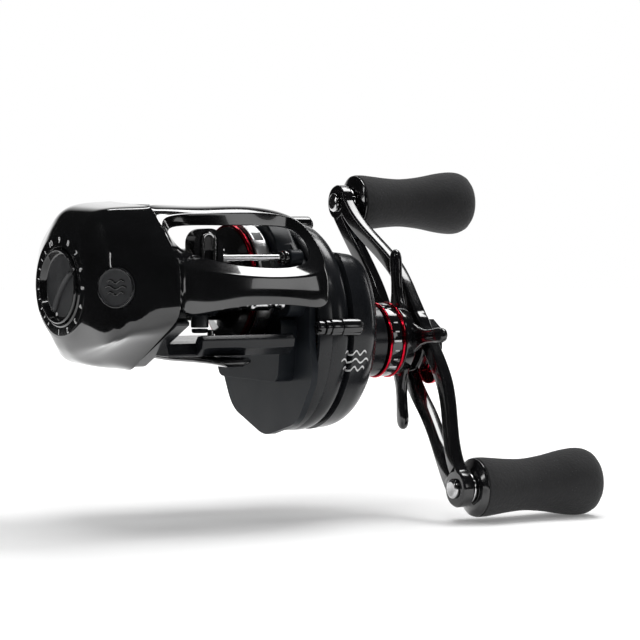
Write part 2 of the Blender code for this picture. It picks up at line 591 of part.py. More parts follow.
def drive_train():
    pinion_phase = atan2(-DRIVE_Y, -DRIVE_DZ)  # from the drive axis towards the spool axis
    facing = atan2(DRIVE_Y, DRIVE_DZ)  # from the spool axis towards the drive axis
    gear_phase = pinion_phase + pi / GEAR_TEETH
    turned("drive_shaft", [(20.8, 0.0), (20.8, 2.1), (24.4, 2.1), (24.4, 2.9), (57.6, 2.9), (58.2, 2.3),
                           (71.6, 2.3), (72.0, 1.9), (72.0, 0.0)], STEEL, axis=DRIVE, sides=20)
    ring("shaft_bearing", 20.9, 23.8, 2.4, 5.0, STEEL, axis=DRIVE, sides=28)
    gear("levelwind_drive_gear", WIND_TEETH, WORM_MODULE, 25.0, 27.0, PLASTIC, DRIVE,
         atan2(WORM_Y - DRIVE_Y, WORM_DZ - DRIVE_DZ) + pi / WIND_TEETH, 3.2, shrink=0.12)
    ratchet = [(11.4 if k % 2 else 9.4, 2 * pi * (k // 2 + (0.0 if k % 2 else 0.12)) / 14)
               for k in range(28)]
    wheel = prism("ratchet_wheel", [(r * sin(a), r * cos(a)) for r, a in ratchet], 27.5, 28.7, STEEL,
                  axis=DRIVE)
    cut(wheel, rod("ratchet_bore", 26.0, 30.0, 3.2, axis=DRIVE, helper=True))
    main = gear("drive_gear", GEAR_TEETH, DRIVE_MODULE, 29.2, 33.2, BRASS, DRIVE, gear_phase, 3.2,
                shrink=0.12)
    cut(main, rod("drag_pocket", 30.6, 36.0, 12.6, axis=DRIVE, sides=28, helper=True))
    ring("drag_washer", 30.9, 32.1, 3.2, 12.2, CARBON, axis=DRIVE)
    turned("pressure_plate", [(32.4, 3.2), (32.4, 11.6), (33.6, 11.6), (34.0, 6.0), (35.0, 5.6),
                              (35.0, 3.2)], STEEL, axis=DRIVE, sides=32)
    ring("clutch_sleeve", 35.4, 50.8, 3.2, 4.6, STEEL, axis=DRIVE, sides=28)
    ring("anti_reverse_bearing", 38.2, 45.0, 4.95, 7.6, STEEL, axis=DRIVE)

    pinion = prism("pinion_gear", gear_outline(PINION_TEETH, DRIVE_MODULE, facing, shrink=0.12),
                   27.4, 35.4, BRASS)
    join(
        pinion,
        rod("pinion_sleeve", 26.4, 27.6, 3.0, helper=True),
        rod("pinion_neck", 35.0, 37.6, 2.0, helper=True),
        rod("pinion_flange", 37.3, 38.6, 3.0, helper=True),
    )
    cut(pinion, rod("pinion_bore", 20.0, 45.0, 1.5, sides=14, helper=True))
    cut(pinion, box("pinion_slot", (25.0, -0.9, -5.0), (27.8, 0.9, 5.0), helper=True))

    fork = [(-11.0, 1.4), (-11.0, 5.6), (11.0, 5.6), (11.0, 1.4), (4.6, 1.4), (4.6, -3.2), (2.4, -3.2),
            (2.4, 2.6), (-2.4, 2.6), (-2.4, -3.2), (-4.6, -3.2), (-4.6, 1.4)]
    yoke = prism("clutch_yoke", fork, 35.75, 36.85, PLASTIC)
    for name, y in (("front", -YOKE_POST_Y), ("rear", YOKE_POST_Y)):
        cut(yoke, rod("yoke_hole", 34.0, 39.0, 1.25, sides=16, centre=(y, YOKE_POST_DZ), helper=True))
        spring("yoke_spring_" + name, 37.15, 39.4, 1.3, 0.2, 2, (y, SPOOL_Z + YOKE_POST_DZ))


def spring(name, x0, x1, radius, wire, turns, axis):
    """A helical compression spring along X, as a bevelled curve."""
    curve = bpy.data.curves.new(name, "CURVE")
    curve.dimensions = "3D"
    curve.bevel_depth = wire * MM
    curve.bevel_resolution = 0
    curve.use_fill_caps = True
    steps = 8
    count = turns * steps + 1
    spline = curve.splines.new("POLY")
    spline.points.add(count - 1)
    for k in range(count):
        angle = 2 * pi * k / steps
        x = x0 + wire + (x1 - x0 - 2 * wire) * k / (count - 1)
        spline.points[k].co = (x * MM, radius * sin(angle) * MM, radius * cos(angle) * MM, 1.0)
    made = bpy.data.objects.new(name, curve)
    made.location = (0.0, axis[0] * MM, axis[1] * MM)
    curve.materials.append(STEEL)
    PARTS.objects.link(made)


def thumb_group():
    top = [(18.5, 7.0, 1), (19.6, 8.2, 1), (26.6, 6.2, 2), (26.8, 3.4, 1), (24.0, 2.2, 1), (18.6, 2.2, 1)]
    bar = prism("thumb_bar", rounded(top, 3), -14.9, 17.2, GLOSS_BLACK)
    join(bar, box("cam_tab", (16.0, 19.5, 2.8), (24.7, 22.6, 5.4), helper=True))
    plate = [(5.2, -2.4, 1), (5.2, 1.4, 1), (10.6, 2.0, 1), (15.0, 7.6, 2), (24.0, 7.6, 2), (24.0, 2.0, 2),
             (12.0, -3.2, 2)]
    prism("clutch_cam", rounded(plate, 2), 25.0, 26.2, PLASTIC)


# ---------------------------------------------------------------- level wind

GUIDE_X = -6.2  # where the line guide stands at rest
GUIDE_HALF = 4.1


def prism_y(name, outline, y0, y1, look=None, axis=SPOOL, helper=False):
    """A closed (x, z) outline extruded from y0 to y1."""
    bm = bmesh.new()
    face = bm.faces.new([bm.verts.new((x, y0, z)) for x, z in outline])
    grown = bmesh.ops.extrude_face_region(bm, geom=[face])["geom"]
    moved = [v for v in grown if isinstance(v, bmesh.types.BMVert)]
    bmesh.ops.translate(bm, vec=(0, y1 - y0, 0), verts=moved)
    return add_object(name, bm, look, axis, helper)


def arch(half, bottom, top, radius=None):
    """An upright arch outline (x, z) around the line guide's middle."""
    radius = half if radius is None else radius
    corners = [(GUIDE_X - half, bottom, 0.01), (GUIDE_X - half, top, radius),
               (GUIDE_X + half, top, radius), (GUIDE_X + half, bottom, 0.01)]
    return rounded(corners, 3)


def level_wind():
    worm_y, worm_z = WORM_Y, WORM_DZ
    carriage = prism_y("line_guide", arch(GUIDE_HALF, -3.0, 14.8, 3.6), -25.8, -20.2, SATIN_BLACK)
    left, right = GUIDE_X - GUIDE_HALF, GUIDE_X + GUIDE_HALF
    join(
        carriage,
        rod("carriage_tube", left + 0.01, right - 0.01, 3.8, axis=WORM, helper=True),
        upright("pawl_boss", GUIDE_X, worm_y, worm_z - 6.6, worm_z - 1.0, 2.3, helper=True),
    )
    cut(
        carriage,
        rod("worm_bore", left - 1, right + 1, 2.95, axis=WORM, sides=28, helper=True),
        rod("rod_bore", left - 1, right + 1, 1.15, axis=ROD, sides=16, helper=True),
        prism_y("line_slot", arch(1.15, 9.1, 13.6), -30.0, -15.0, helper=True),
        prism_y("front_recess", arch(1.15, 5.2, 13.6), -27.0, -24.6, helper=True),
        prism_y("insert_seat", arch(2.45, 4.6, 14.2), -27.0, -25.2, helper=True),
        upright("pawl_bore", GUIDE_X, worm_y, worm_z - 9.0, worm_z, 1.3, helper=True),
    )
    insert = prism_y("guide_insert", arch(2.15, 4.9, 13.9), -26.1, -25.5, STEEL)
    cut(insert, prism_y("insert_slot", arch(1.15, 3.0, 13.0), -28.0, -20.0, helper=True))
    upright("pawl", GUIDE_X, worm_y, worm_z - 6.4, worm_z - 2.75, 0.95, STEEL, sides=14)
    upright("pawl_cap", GUIDE_X, worm_y, worm_z - 8.0, worm_z - 6.9, 2.1, SATIN_BLACK)

    crest, groove, pitch = 2.6, 2.0, 4.2
    worm = [(-18.0, 0.0), (-18.0, 1.2), (-14.6, 1.2), (-14.6, crest)]
    start = -13.6
    while start < 15.6:
        worm += [(start, crest), (start + 0.6, groove), (start + 2.2, groove), (start + 2.8, crest)]
        start += pitch
    worm += [(17.2, crest), (17.2, 1.4), (27.4, 1.4), (27.4, 0.0)]
    turned("worm_shaft", worm, STEEL, axis=WORM, sides=12)
    gear("levelwind_gear", WORM_TEETH, WORM_MODULE, 25.0, 27.0, PLASTIC, WORM,
         atan2(DRIVE_Y - WORM_Y, DRIVE_DZ - WORM_DZ), 1.7, shrink=0.12)
    rod("guide_rod", -17.1, 20.9, 0.85, STEEL, axis=ROD, sides=14)
    ring("guide_rod_nut", 15.7, 17.7, 1.15, 1.8, SATIN_BLACK, axis=ROD, sides=20)


# ---------------------------------------------------------------- handle side controls

def tension_knob():
    """Cast control cap at the end of the spool shaft, with a ridged rim."""
    outline = []
    ridges = 20
    for k in range(ridges * 2):
        radius = 5.6 if k % 2 else 5.2
        angle = pi * k / ridges
        outline.append((radius * sin(angle), radius * cos(angle)))
    cap = prism("cast_control_cap", outline, TENSION_X, TENSION_X + 2.2, SATIN_BLACK)
    join(cap, rod("cap_neck", TENSION_X - 2.4, TENSION_X + 0.5, 3.2, sides=24, helper=True))
    cut(cap, rod("cap_hollow", TENSION_X - 4.0, TENSION_X - 0.6, 2.2, sides=20, helper=True))


def star_and_collar():
    turned("drag_collar", [(51.7, 3.2), (51.7, 6.0), (52.9, 6.0), (52.9, COLLAR_RADIUS - 0.1),
                           (55.5, COLLAR_RADIUS - 0.1), (55.5, 6.0), (56.6, 6.0), (56.6, 3.2)],
           GLOSS_BLACK, axis=DRIVE, sides=32)
    ring("collar_ring_inner", 51.8, 52.6, 6.4, COLLAR_RADIUS + 0.15, RED_ANODISED, axis=DRIVE, sides=32)
    ring("collar_ring_outer", 55.8, 56.6, 6.4, COLLAR_RADIUS + 0.15, RED_ANODISED, axis=DRIVE, sides=32)

    # Star wheel: four tapered fingers with round tips
    outline = []
    root, tip_width = 8.6, 2.0
    for k in range(4):
        turn = k * pi / 2 + radians(5.0)
        finger = [(-4.2, root), (-2.3, root + 3.6), (-1.7, 16.0), (-tip_width, STAR_RADIUS - 3.0),
                  (-1.4, STAR_RADIUS - 0.8), (0.0, STAR_RADIUS), (1.4, STAR_RADIUS - 0.8),
                  (tip_width, STAR_RADIUS - 3.0), (1.7, 16.0), (2.3, root + 3.6), (4.2, root)]
        for side, out in finger:
            outline.append((side * cos(turn) + out * sin(turn), out * cos(turn) - side * sin(turn)))
        middle = turn + pi / 4
        outline.append((root * sin(middle), root * cos(middle)))
    star = prism("star_drag", outline, 59.1, 61.5, GLOSS_BLACK, axis=DRIVE)
    join(star, turned("star_hub", [(56.9, 0.0), (56.9, 9.0), (58.0, 9.6), (60.9, 9.2), (61.9, 6.4),
                                   (61.9, 0.0)], axis=DRIVE, sides=28, helper=True))
    cut(star, rod("star_bore", 50.0, 65.0, 3.2, axis=DRIVE, helper=True))


# ---------------------------------------------------------------- handle

def arm_point(along, across, x):
    return (x, along * ARM_UP[0] + across * ARM_SIDE[0], along * ARM_UP[1] + across * ARM_SIDE[1])


def smooth_step(value):
    value = max(0.0, min(1.0, value))
    return value * value * (3 - 2 * value)


def arm_x(along):
    return ARM_HUB_X + (ARM_EYE_X - ARM_HUB_X) * smooth_step((abs(along) - 18.0) / 29.0)


def arm_spread(along):
    return 6.8 - 4.6 * smooth_step((abs(along) - 12.0) / 34.0)


def strut(name, side):
    rings = []
    half_width, half_thick, corner = 2.2, ARM_THICK / 2, 0.7
    for k in range(-7, 8):
        along = HANDLE_HALF * k / 7
        middle, x = side * arm_spread(along), arm_x(along)
        section = [(-half_width, -half_thick + corner), (-half_width + corner, -half_thick),
                   (half_width - corner, -half_thick), (half_width, -half_thick + corner),
                   (half_width, half_thick - corner), (half_width - corner, half_thick),
                   (-half_width + corner, half_thick), (-half_width, half_thick - corner)]
        rings.append([arm_point(along, middle + across, x + depth) for across, depth in section])
    return loft(name, rings, axis=DRIVE, helper=True)


def oval_outline(half_length, radius, segments=10):
    """Round-ended slot outline along the arm."""
    outline = []
    for end in (1, -1):
        for k in range(segments + 1):
            angle = pi * k / segments
            across, along = radius * cos(angle) * end, end * (half_length - radius + radius * sin(angle))
            _, y, z = arm_point(along, across, 0.0)
            outline.append((y, z))
    return outline


def handle():
    hub_low, hub_high = ARM_HUB_X - ARM_THICK / 2, ARM_HUB_X + ARM_THICK / 2
    eye_low, eye_high = ARM_EYE_X - ARM_THICK / 2, ARM_EYE_X + ARM_THICK / 2
    arm = turned("handle_arm", [(hub_low, 0.0), (hub_low, 8.6), (hub_low + 0.6, 9.2), (hub_high - 0.6, 9.2),
                                (hub_high, 8.6), (hub_high, 0.0)], GLOSS_BLACK, axis=DRIVE, sides=28)
    join(arm, strut("strut_front", -1), strut("strut_rear", 1))
    for end in (1, -1):
        _, y, z = arm_point(end * HANDLE_HALF, 0.0, 0.0)
        join(arm, turned("arm_eye", [(eye_low, 0.0), (eye_low, 4.6), (eye_low + 0.5, 5.0),
                                     (eye_high - 0.5, 5.0), (eye_high, 4.6), (eye_high, 0.0)],
                         axis=DRIVE, sides=22, centre=(y, z), helper=True))
        cut(arm, rod("eye_hole", 50.0, 70.0, 2.3, axis=DRIVE, sides=20, centre=(y, z), helper=True))
    cut(arm, rod("arm_bore", 50.0, 75.0, 2.7, axis=DRIVE, helper=True))

    plate = prism("retainer_plate", oval_outline(14.0, 6.2), hub_high + GAP, hub_high + GAP + 1.1,
                  RED_ANODISED, axis=DRIVE)
    cut(plate, rod("plate_bore", 60.0, 75.0, 2.7, axis=DRIVE, helper=True))
    nut_x = hub_high + 2 * GAP + 1.1
    nut = turned("handle_nut", [(nut_x, 0.0), (nut_x, 5.4), (nut_x + 3.4, 5.4), (nut_x + 4.4, 4.4),
                                (nut_x + 5.0, 2.6), (nut_x + 5.0, 0.0)], GLOSS_BLACK, axis=DRIVE, sides=6)
    cut(nut, rod("nut_bore", 60.0, 72.4, 2.65, axis=DRIVE, helper=True))
    _, y, z = arm_point(-10.2, 0.0, 0.0)
    cut(plate, rod("lock_hole", 60.0, 75.0, 1.1, axis=DRIVE, sides=14, centre=(y, z), helper=True))
    turned("nut_lock_screw", [(hub_high + 0.4, 0.0), (hub_high + 0.4, 0.75), (nut_x, 0.75), (nut_x, 1.7),
                              (nut_x + 0.9, 1.5), (nut_x + 0.9, 0.0)], STEEL, axis=DRIVE, sides=16,
           centre=(y, z))
    for label, end in (("upper", 1), ("lower", -1)):
        knob(label, end)


def knob(label, end):
    """One handle knob: shouldered pin, end cap, bushing and foam grip."""
    _, y, z = arm_point(end * HANDLE_HALF, 0.0, 0.0)
    axis = (DRIVE[0] + y, DRIVE[1] + z)
    turned("knob_pin_" + label, [(56.9, 0.0), (56.9, 2.2), (57.3, 2.65), (57.9, 2.65), (57.9, 1.95),
                                 (61.9, 1.95), (61.9, 4.2), (62.6, 4.2), (62.6, 1.95), (95.4, 1.95),
                                 (95.8, 1.6), (95.8, 0.0)], STEEL, axis=axis, sides=16)
    turned("knob_cap_" + label, [(62.9, 2.4), (62.9, 5.0), (63.3, 6.0), (63.9, 7.2), (64.2, 7.7), (64.2, 5.2),
                                 (66.4, 5.2), (66.4, 2.4)],
           GLOSS_BLACK, axis=axis, sides=20)
    turned("knob_grip_" + label, [(96.8, 0.0), (96.8, 4.6), (66.8, 4.6), (66.8, 5.6), (64.5, 5.6),
                                  (64.5, 7.7), (65.0, 7.95), (74.4, 7.1), (79.4, 6.9), (85.4, 7.5),
                                  (91.4, 8.6), (95.4, 9.05), (98.0, 8.9), (100.0, 8.0), (101.3, 5.4),
                                  (101.3, 0.0)], FOAM, axis=axis, sides=24)
    ring("knob_bushing_" + label, 66.9, 92.9, 2.25, 4.0, BRASS, axis=axis, sides=24)


palm_side()
frame()
reel_foot()
front_cowl()
gear_side()
spool_group()
drive_train()
thumb_group()
level_wind()
tension_knob()
star_and_collar()
handle()
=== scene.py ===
"""Visual model of a low-profile baitcasting reel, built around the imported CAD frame.

Origin in the middle of the land under the reel foot, +X towards the handle, -Y towards the
line exit, +Z up. Lengths are in millimetres and MM turns them into metres.
"""

from math import acos, cos, pi, radians, sin, sqrt

import bmesh
import bpy
from mathutils import Matrix, Vector
from mathutils.bvhtree import BVHTree


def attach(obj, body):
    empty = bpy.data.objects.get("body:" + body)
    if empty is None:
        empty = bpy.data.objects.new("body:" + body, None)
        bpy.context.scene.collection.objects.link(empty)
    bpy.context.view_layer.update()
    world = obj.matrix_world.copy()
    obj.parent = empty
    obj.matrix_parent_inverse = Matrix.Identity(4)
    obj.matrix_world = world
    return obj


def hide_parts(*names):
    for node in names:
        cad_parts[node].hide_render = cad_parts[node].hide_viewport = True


shift, rotate = Matrix.Translation, Matrix.Rotation
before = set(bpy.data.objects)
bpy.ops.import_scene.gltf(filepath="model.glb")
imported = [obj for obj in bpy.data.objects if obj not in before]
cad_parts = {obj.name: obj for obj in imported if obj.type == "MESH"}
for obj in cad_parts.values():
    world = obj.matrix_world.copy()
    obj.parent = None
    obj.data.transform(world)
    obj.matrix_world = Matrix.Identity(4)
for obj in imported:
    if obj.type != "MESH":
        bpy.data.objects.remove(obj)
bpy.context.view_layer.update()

MM = 0.001
HERE = Matrix.Identity(4)
SPOOL = (0.0, 20.5)  # (y, z) of each axis
DRIVE = (-7.3, 4.9)
WORM = (-20.0, 16.5)
ROD = (-22.6, 27.7)
BOSS = (-29.7, 9.6)
SPOOL_Z = SPOOL[1]
DIAL_X = -36.4
DIAL_TILT = radians(6.5)
DIAL_LEAN = sin(DIAL_TILT) / cos(DIAL_TILT)
DIAL_PLACE = shift((DIAL_X, 0.0, SPOOL_Z)) @ rotate(DIAL_TILT, 4, "Z")
BADGE_TURN = radians(39.8)
BADGE_PLACE = shift((-31.3, -24.8, SPOOL_Z)) @ rotate(BADGE_TURN, 4, "Z")
GUIDE_X = -6.2
HANDLE_HALF = 50.0
HANDLE_TILT = radians(40.6)
ARM_UP = (sin(HANDLE_TILT), cos(HANDLE_TILT))
ARM_SIDE = (ARM_UP[1], -ARM_UP[0])
SHARP, BEVEL_FROM = radians(36), radians(38)
FLOOR_Z = -42.2
FLOOR_GLOW = (0.14, 0.75)  # how much the paper shines by itself near the reel and far away
ROOM_DARK, ROOM_BACKDROP = 0.012, 0.95  # what polished faces reflect of the room and of the backdrop
PAPER = ((-200.0, -330.0), (-200.0, 420.0), (2600.0, 620.0), (2600.0, -560.0))  # (back, right) corners
ROOM_FILL = 0.38


# ------------------------------------------------------------------ materials

EVEN = (1.0, 1.0, 1.0)

def node(tree, kind, **values):
    """A shader node with values on its inputs; an underscore stands for a space in an input's name."""
    made = tree.nodes.new("ShaderNode" + kind)
    for name, value in values.items():
        made.inputs[name.replace("_", " ")].default_value = value
    return made


def noise(tree, place, size, detail=4.0, stretch=EVEN):
    """Noise whose features are about `size` millimetres, in the piece's own coordinates."""
    mapping = node(tree, "Mapping", Scale=stretch)
    made = node(tree, "TexNoise", Scale=1.0 / (size * MM), Detail=detail)
    tree.links.new(place.outputs["Object"], mapping.inputs["Vector"])
    tree.links.new(mapping.outputs["Vector"], made.inputs["Vector"])
    return made.outputs["Fac"]


def spread(tree, value, low, high, out_low=0.0, out_high=1.0):
    made = node(tree, "MapRange", From_Min=low, From_Max=high, To_Min=out_low, To_Max=out_high)
    tree.links.new(value, made.inputs["Value"])
    return made.outputs["Result"]


def laid_over(tree, kind, factor, below, value):
    """A constant laid over an input, as strongly as the factor says."""
    made = node(tree, "Mix")
    made.data_type = kind
    tree.links.new(factor, made.inputs["Factor"])
    tree.links.new(below, made.inputs["A"])
    made.inputs["B"].default_value = value
    return made.outputs["Result"]


def placed(tree):
    return next(n for n in tree.nodes if n.type == "TEX_COORD")


def blend_colours(tree, factor, dark, light):
    made = node(tree, "ValToRGB")
    made.color_ramp.elements[0].position = 0.0
    made.color_ramp.elements[0].color = (*dark, 1.0)
    made.color_ramp.elements[1].position = 1.0
    made.color_ramp.elements[1].color = (*light, 1.0)
    tree.links.new(factor, made.inputs["Fac"])
    return made.outputs["Color"]


def surface(name, dark, light, rough, grain, metallic=0.0, coat=0.0, coat_rough=0.02, bump=0.0,
        bump_size=0.4, stretch=EVEN, sheen=0.0, wear=0.0, shine=0.5):
    """A finish whose colour, gloss and fine relief all vary over the surface."""
    made = bpy.data.materials.new(name)
    made.use_nodes = True
    tree = made.node_tree
    shader = tree.nodes["Principled BSDF"]
    for key, value in (("Metallic", metallic), ("Coat Weight", coat), ("Coat Roughness", coat_rough),
            ("Sheen Weight", sheen), ("Specular IOR Level", shine)):
        shader.inputs[key].default_value = value
    place = node(tree, "TexCoord")
    broad = noise(tree, place, grain, stretch=stretch)
    colour = blend_colours(tree, spread(tree, broad, 0.3, 0.7), dark, light)
    fine = noise(tree, place, bump_size, detail=3.0, stretch=stretch)
    if wear:
        edge = spread(tree, node(tree, "NewGeometry").outputs["Pointiness"], 0.53, 0.6, 0.0, wear)
        rubbed = (*[min(1.0, c * 3 + 0.05) for c in light], 1.0)
        colour = laid_over(tree, "RGBA", edge, colour, rubbed)
    tree.links.new(colour, shader.inputs["Base Color"])
    tree.links.new(spread(tree, broad, 0.3, 0.7, *rough), shader.inputs["Roughness"])
    if bump:
        relief = node(tree, "Bump", Strength=1.0, Distance=bump * MM)
        tree.links.new(fine, relief.inputs["Height"])
        tree.links.new(relief.outputs["Normal"], shader.inputs["Normal"])
    return made


def foam_surface():
    """Closed-cell foam: matt charcoal with pores and scattered pale specks."""
    made = surface("foam_grip", (0.011, 0.011, 0.012), (0.021, 0.021, 0.022), (0.82, 0.95), grain=5.0,
        bump=0.16, bump_size=0.7, sheen=0.12)
    tree = made.node_tree
    shader = tree.nodes["Principled BSDF"]
    place = placed(tree)
    cells = node(tree, "TexVoronoi", Scale=1.0 / (0.62 * MM))
    tree.links.new(place.outputs["Object"], cells.inputs["Vector"])
    both = node(tree, "Math")
    both.operation = "MULTIPLY"
    tree.links.new(spread(tree, cells.outputs["Distance"], 0.16, 0.05), both.inputs[0])
    tree.links.new(spread(tree, noise(tree, place, 2.2, detail=2.0), 0.46, 0.66), both.inputs[1])
    base = shader.inputs["Base Color"]
    specked = laid_over(tree, "RGBA", both.outputs[0], base.links[0].from_socket, (0.12, 0.12, 0.12, 1.0))
    tree.links.new(specked, base)
    return made


def carbon_surface():
    """Woven washer: two crossed sets of fibres."""
    made = surface("woven_carbon", (0.012, 0.012, 0.013), (0.05, 0.05, 0.052), (0.35, 0.6), grain=0.5)
    tree = made.node_tree
    weave = node(tree, "TexChecker", Scale=1.0 / (1.4 * MM), Color1=(0.012, 0.012, 0.013, 1.0),
        Color2=(0.055, 0.055, 0.058, 1.0))
    tree.links.new(placed(tree).outputs["Object"], weave.inputs["Vector"])
    tree.links.new(weave.outputs["Color"], tree.nodes["Principled BSDF"].inputs["Base Color"])
    return made


LACQUER = surface("black_lacquer", (0.0035, 0.0036, 0.004), (0.0065, 0.0068, 0.0075), (0.08, 0.14),
    grain=14.0, coat=1.0, coat_rough=0.018, bump=0.0009, bump_size=1.1, wear=0.05)
ANODISED = surface("black_anodised", (0.0035, 0.0035, 0.004), (0.007, 0.007, 0.008), (0.1, 0.18), grain=7.0,
    coat=0.7, coat_rough=0.05, bump=0.001, bump_size=0.5, wear=0.1)
SATIN = surface("satin_paint", (0.006, 0.0066, 0.008), (0.01, 0.011, 0.013), (0.2, 0.27), grain=9.0,
    coat=0.2, coat_rough=0.12, bump=0.0016, bump_size=0.25, wear=0.08, shine=0.3)
MATT = surface("matt_paint", (0.007, 0.009, 0.012), (0.012, 0.015, 0.019), (0.34, 0.44), grain=8.0,
    bump=0.004, bump_size=0.22, wear=0.06, shine=0.2)
INSET = surface("dial_inset", (0.022, 0.023, 0.025), (0.034, 0.035, 0.037), (0.4, 0.52), grain=3.0,
    bump=0.006, bump_size=0.18)
RED = surface("red_anodised_metal", (0.5, 0.004, 0.018), (0.72, 0.012, 0.04), (0.14, 0.24), grain=5.0,
    metallic=1.0, bump=0.0012, bump_size=0.3, stretch=(6.0, 1.0, 1.0))
STEEL = surface("polished_steel", (0.5, 0.5, 0.5), (0.74, 0.74, 0.75), (0.1, 0.2), grain=3.0, metallic=1.0,
    bump=0.0012, bump_size=0.2, stretch=(8.0, 1.0, 1.0))
BRASS = surface("machined_brass", (0.52, 0.34, 0.11), (0.74, 0.53, 0.22), (0.2, 0.34), grain=2.5,
    metallic=1.0, bump=0.002, bump_size=0.25, stretch=(5.0, 1.0, 1.0))
ALUMINIUM = surface("machined_aluminium", (0.55, 0.55, 0.57), (0.76, 0.76, 0.78), (0.2, 0.33), grain=3.0,
    metallic=1.0, bump=0.0015, bump_size=0.22, stretch=(7.0, 1.0, 1.0))
NYLON = surface("moulded_nylon", (0.014, 0.014, 0.015), (0.028, 0.028, 0.03), (0.42, 0.58), grain=3.0,
    bump=0.006, bump_size=0.3)
NICKEL = surface("nickel_plate", (0.4, 0.39, 0.37), (0.56, 0.55, 0.53), (0.16, 0.28), grain=2.0,
    metallic=1.0, bump=0.001, bump_size=0.3)
PRINT = surface("white_print", (0.62, 0.62, 0.62), (0.8, 0.8, 0.8), (0.35, 0.5), grain=1.2, bump=0.003,
    bump_size=0.15)
BAND = surface("brushed_band", (0.62, 0.62, 0.62), (0.8, 0.8, 0.8), (0.3, 0.42), grain=2.0, metallic=1.0,
    bump=0.002, bump_size=0.2, stretch=(8.0, 1.0, 1.0))
FOAM = foam_surface()
CARBON = carbon_surface()


# ------------------------------------------------------------------ shape helpers

def bend(corners, closed=True, steps=6, arc=True):
    """An outline through (a, b) or (a, b, radius) corners, with each radius turned into an arc."""
    points = []
    count = len(corners)
    for i, corner in enumerate(corners):
        here = Vector(corner[:2])
        radius = corner[2] if len(corner) > 2 else 0.0
        if radius <= 0 or (not closed and i in (0, count - 1)):
            points.append(tuple(here))
            continue
        back = Vector(corners[i - 1][:2]) - here
        ahead = Vector(corners[(i + 1) % count][:2]) - here
        a, b = back.normalized(), ahead.normalized()
        half = acos(max(-1.0, min(1.0, a.dot(b)))) / 2
        reach = min(radius / max(1e-6, sin(half)) * cos(half), back.length * 0.48, ahead.length * 0.48)
        start, end = here + a * reach, here + b * reach
        weight = sin(half) if arc else 1.0
        for k in range(steps + 1):
            t = k / steps
            w0, w1, w2 = (1 - t) ** 2, 2 * t * (1 - t) * weight, t * t
            points.append(tuple((start * w0 + here * w1 + end * w2) / (w0 + w1 + w2)))
    return points


def flow(points, steps):
    """A smooth curve through the points."""
    curve = []
    last = len(points) - 1
    for i in range(last):
        p0, p1, p2, p3 = points[max(i - 1, 0)], points[i], points[i + 1], points[min(i + 2, last)]
        for k in range(steps):
            t = k / steps
            curve.append(0.5 * (2 * p1 + (p2 - p0) * t + (2 * p0 - 5 * p1 + 4 * p2 - p3) * t * t
                + (3 * p1 - p0 - 3 * p2 + p3) * t ** 3))
    curve.append(points[-1])
    return curve


def shade(mesh):
    mesh.shade_smooth()
    mesh.set_sharp_from_angle(angle=SHARP)


def piece(name, bm, look, place):
    """A mesh object made of bm, moved from millimetres at `place` into metres."""
    bmesh.ops.recalc_face_normals(bm, faces=bm.faces)
    bm.transform(Matrix.Scale(MM, 4) @ place)
    mesh = bpy.data.meshes.new(name)
    bm.to_mesh(mesh)
    bm.free()
    mesh.materials.append(look)
    shade(mesh)
    made = bpy.data.objects.new(name, mesh)
    bpy.context.scene.collection.objects.link(made)
    return made


def on(axis):
    return shift((0.0, axis[0], axis[1]))


def skin(bm, rings, closed=False):
    """Faces between rings of vertices; a ring of one vertex is a pole."""
    pairs = list(zip(rings, rings[1:])) + ([(rings[-1], rings[0])] if closed else [])
    for low, high in pairs:
        count = max(len(low), len(high))
        for i in range(count):
            j = (i + 1) % count
            corners = [low[i % len(low)], low[j % len(low)], high[j % len(high)], high[i % len(high)]]
            corners = list(dict.fromkeys(corners))
            if len(corners) > 2:
                bm.faces.new(corners)


def lathe(name, profile, look, place, sides=96, ripple=None):
    """A profile of (x, radius, bend) turned about X. ripple = (count, depth, x from, x to)."""
    closed = min(corner[1] for corner in profile) > 0
    bm = bmesh.new()
    rings = []
    for x, radius in bend(profile, closed, 4):
        if radius < 1e-6:
            rings.append([bm.verts.new((x, 0.0, 0.0))])
            continue
        ring = []
        for k in range(sides):
            angle = 2 * pi * k / sides
            depth = 0.0
            if ripple and ripple[2] < x < ripple[3]:
                depth = ripple[1] * (0.5 + 0.5 * cos(ripple[0] * angle)) ** 2
            ring.append(bm.verts.new((x, (radius - depth) * sin(angle), (radius - depth) * cos(angle))))
        rings.append(ring)
    skin(bm, rings, closed)
    return piece(name, bm, look, place)


def turned(name, profile, look, place, sides=96):
    """A solid turned about X, with both ends of the profile run to the axis."""
    return lathe(name, [(profile[0][0], 0.0), *profile, (profile[-1][0], 0.0)], look, place, sides)


def loft(name, rings, look, place, closed=False):
    bm = bmesh.new()
    rows = [[bm.verts.new(point) for point in ring] for ring in rings]
    skin(bm, rows, closed)
    if not closed:
        for row in (rows[0], rows[-1]):
            if len(row) > 2:
                bm.faces.new(row)
    return piece(name, bm, look, place)


def slab(name, outline, low, high, look, place, across="X"):
    """A closed outline extruded from low to high along X, Y or Z."""
    turn = {"X": lambda a, b, c: (c, a, b), "Y": lambda a, b, c: (a, c, b), "Z": lambda a, b, c: (a, b, c)}
    bm = bmesh.new()
    face = bm.faces.new([bm.verts.new(turn[across](a, b, low)) for a, b in outline])
    grown = bmesh.ops.extrude_face_region(bm, geom=[face])["geom"]
    moved = [v for v in grown if isinstance(v, bmesh.types.BMVert)]
    bmesh.ops.translate(bm, vec=turn[across](0.0, 0.0, high - low), verts=moved)
    return piece(name, bm, look, place)


def block(name, low, high, look, place):
    outline = [(low[1], low[2]), (high[1], low[2]), (high[1], high[2]), (low[1], high[2])]
    return slab(name, outline, low[0], high[0], look, place)


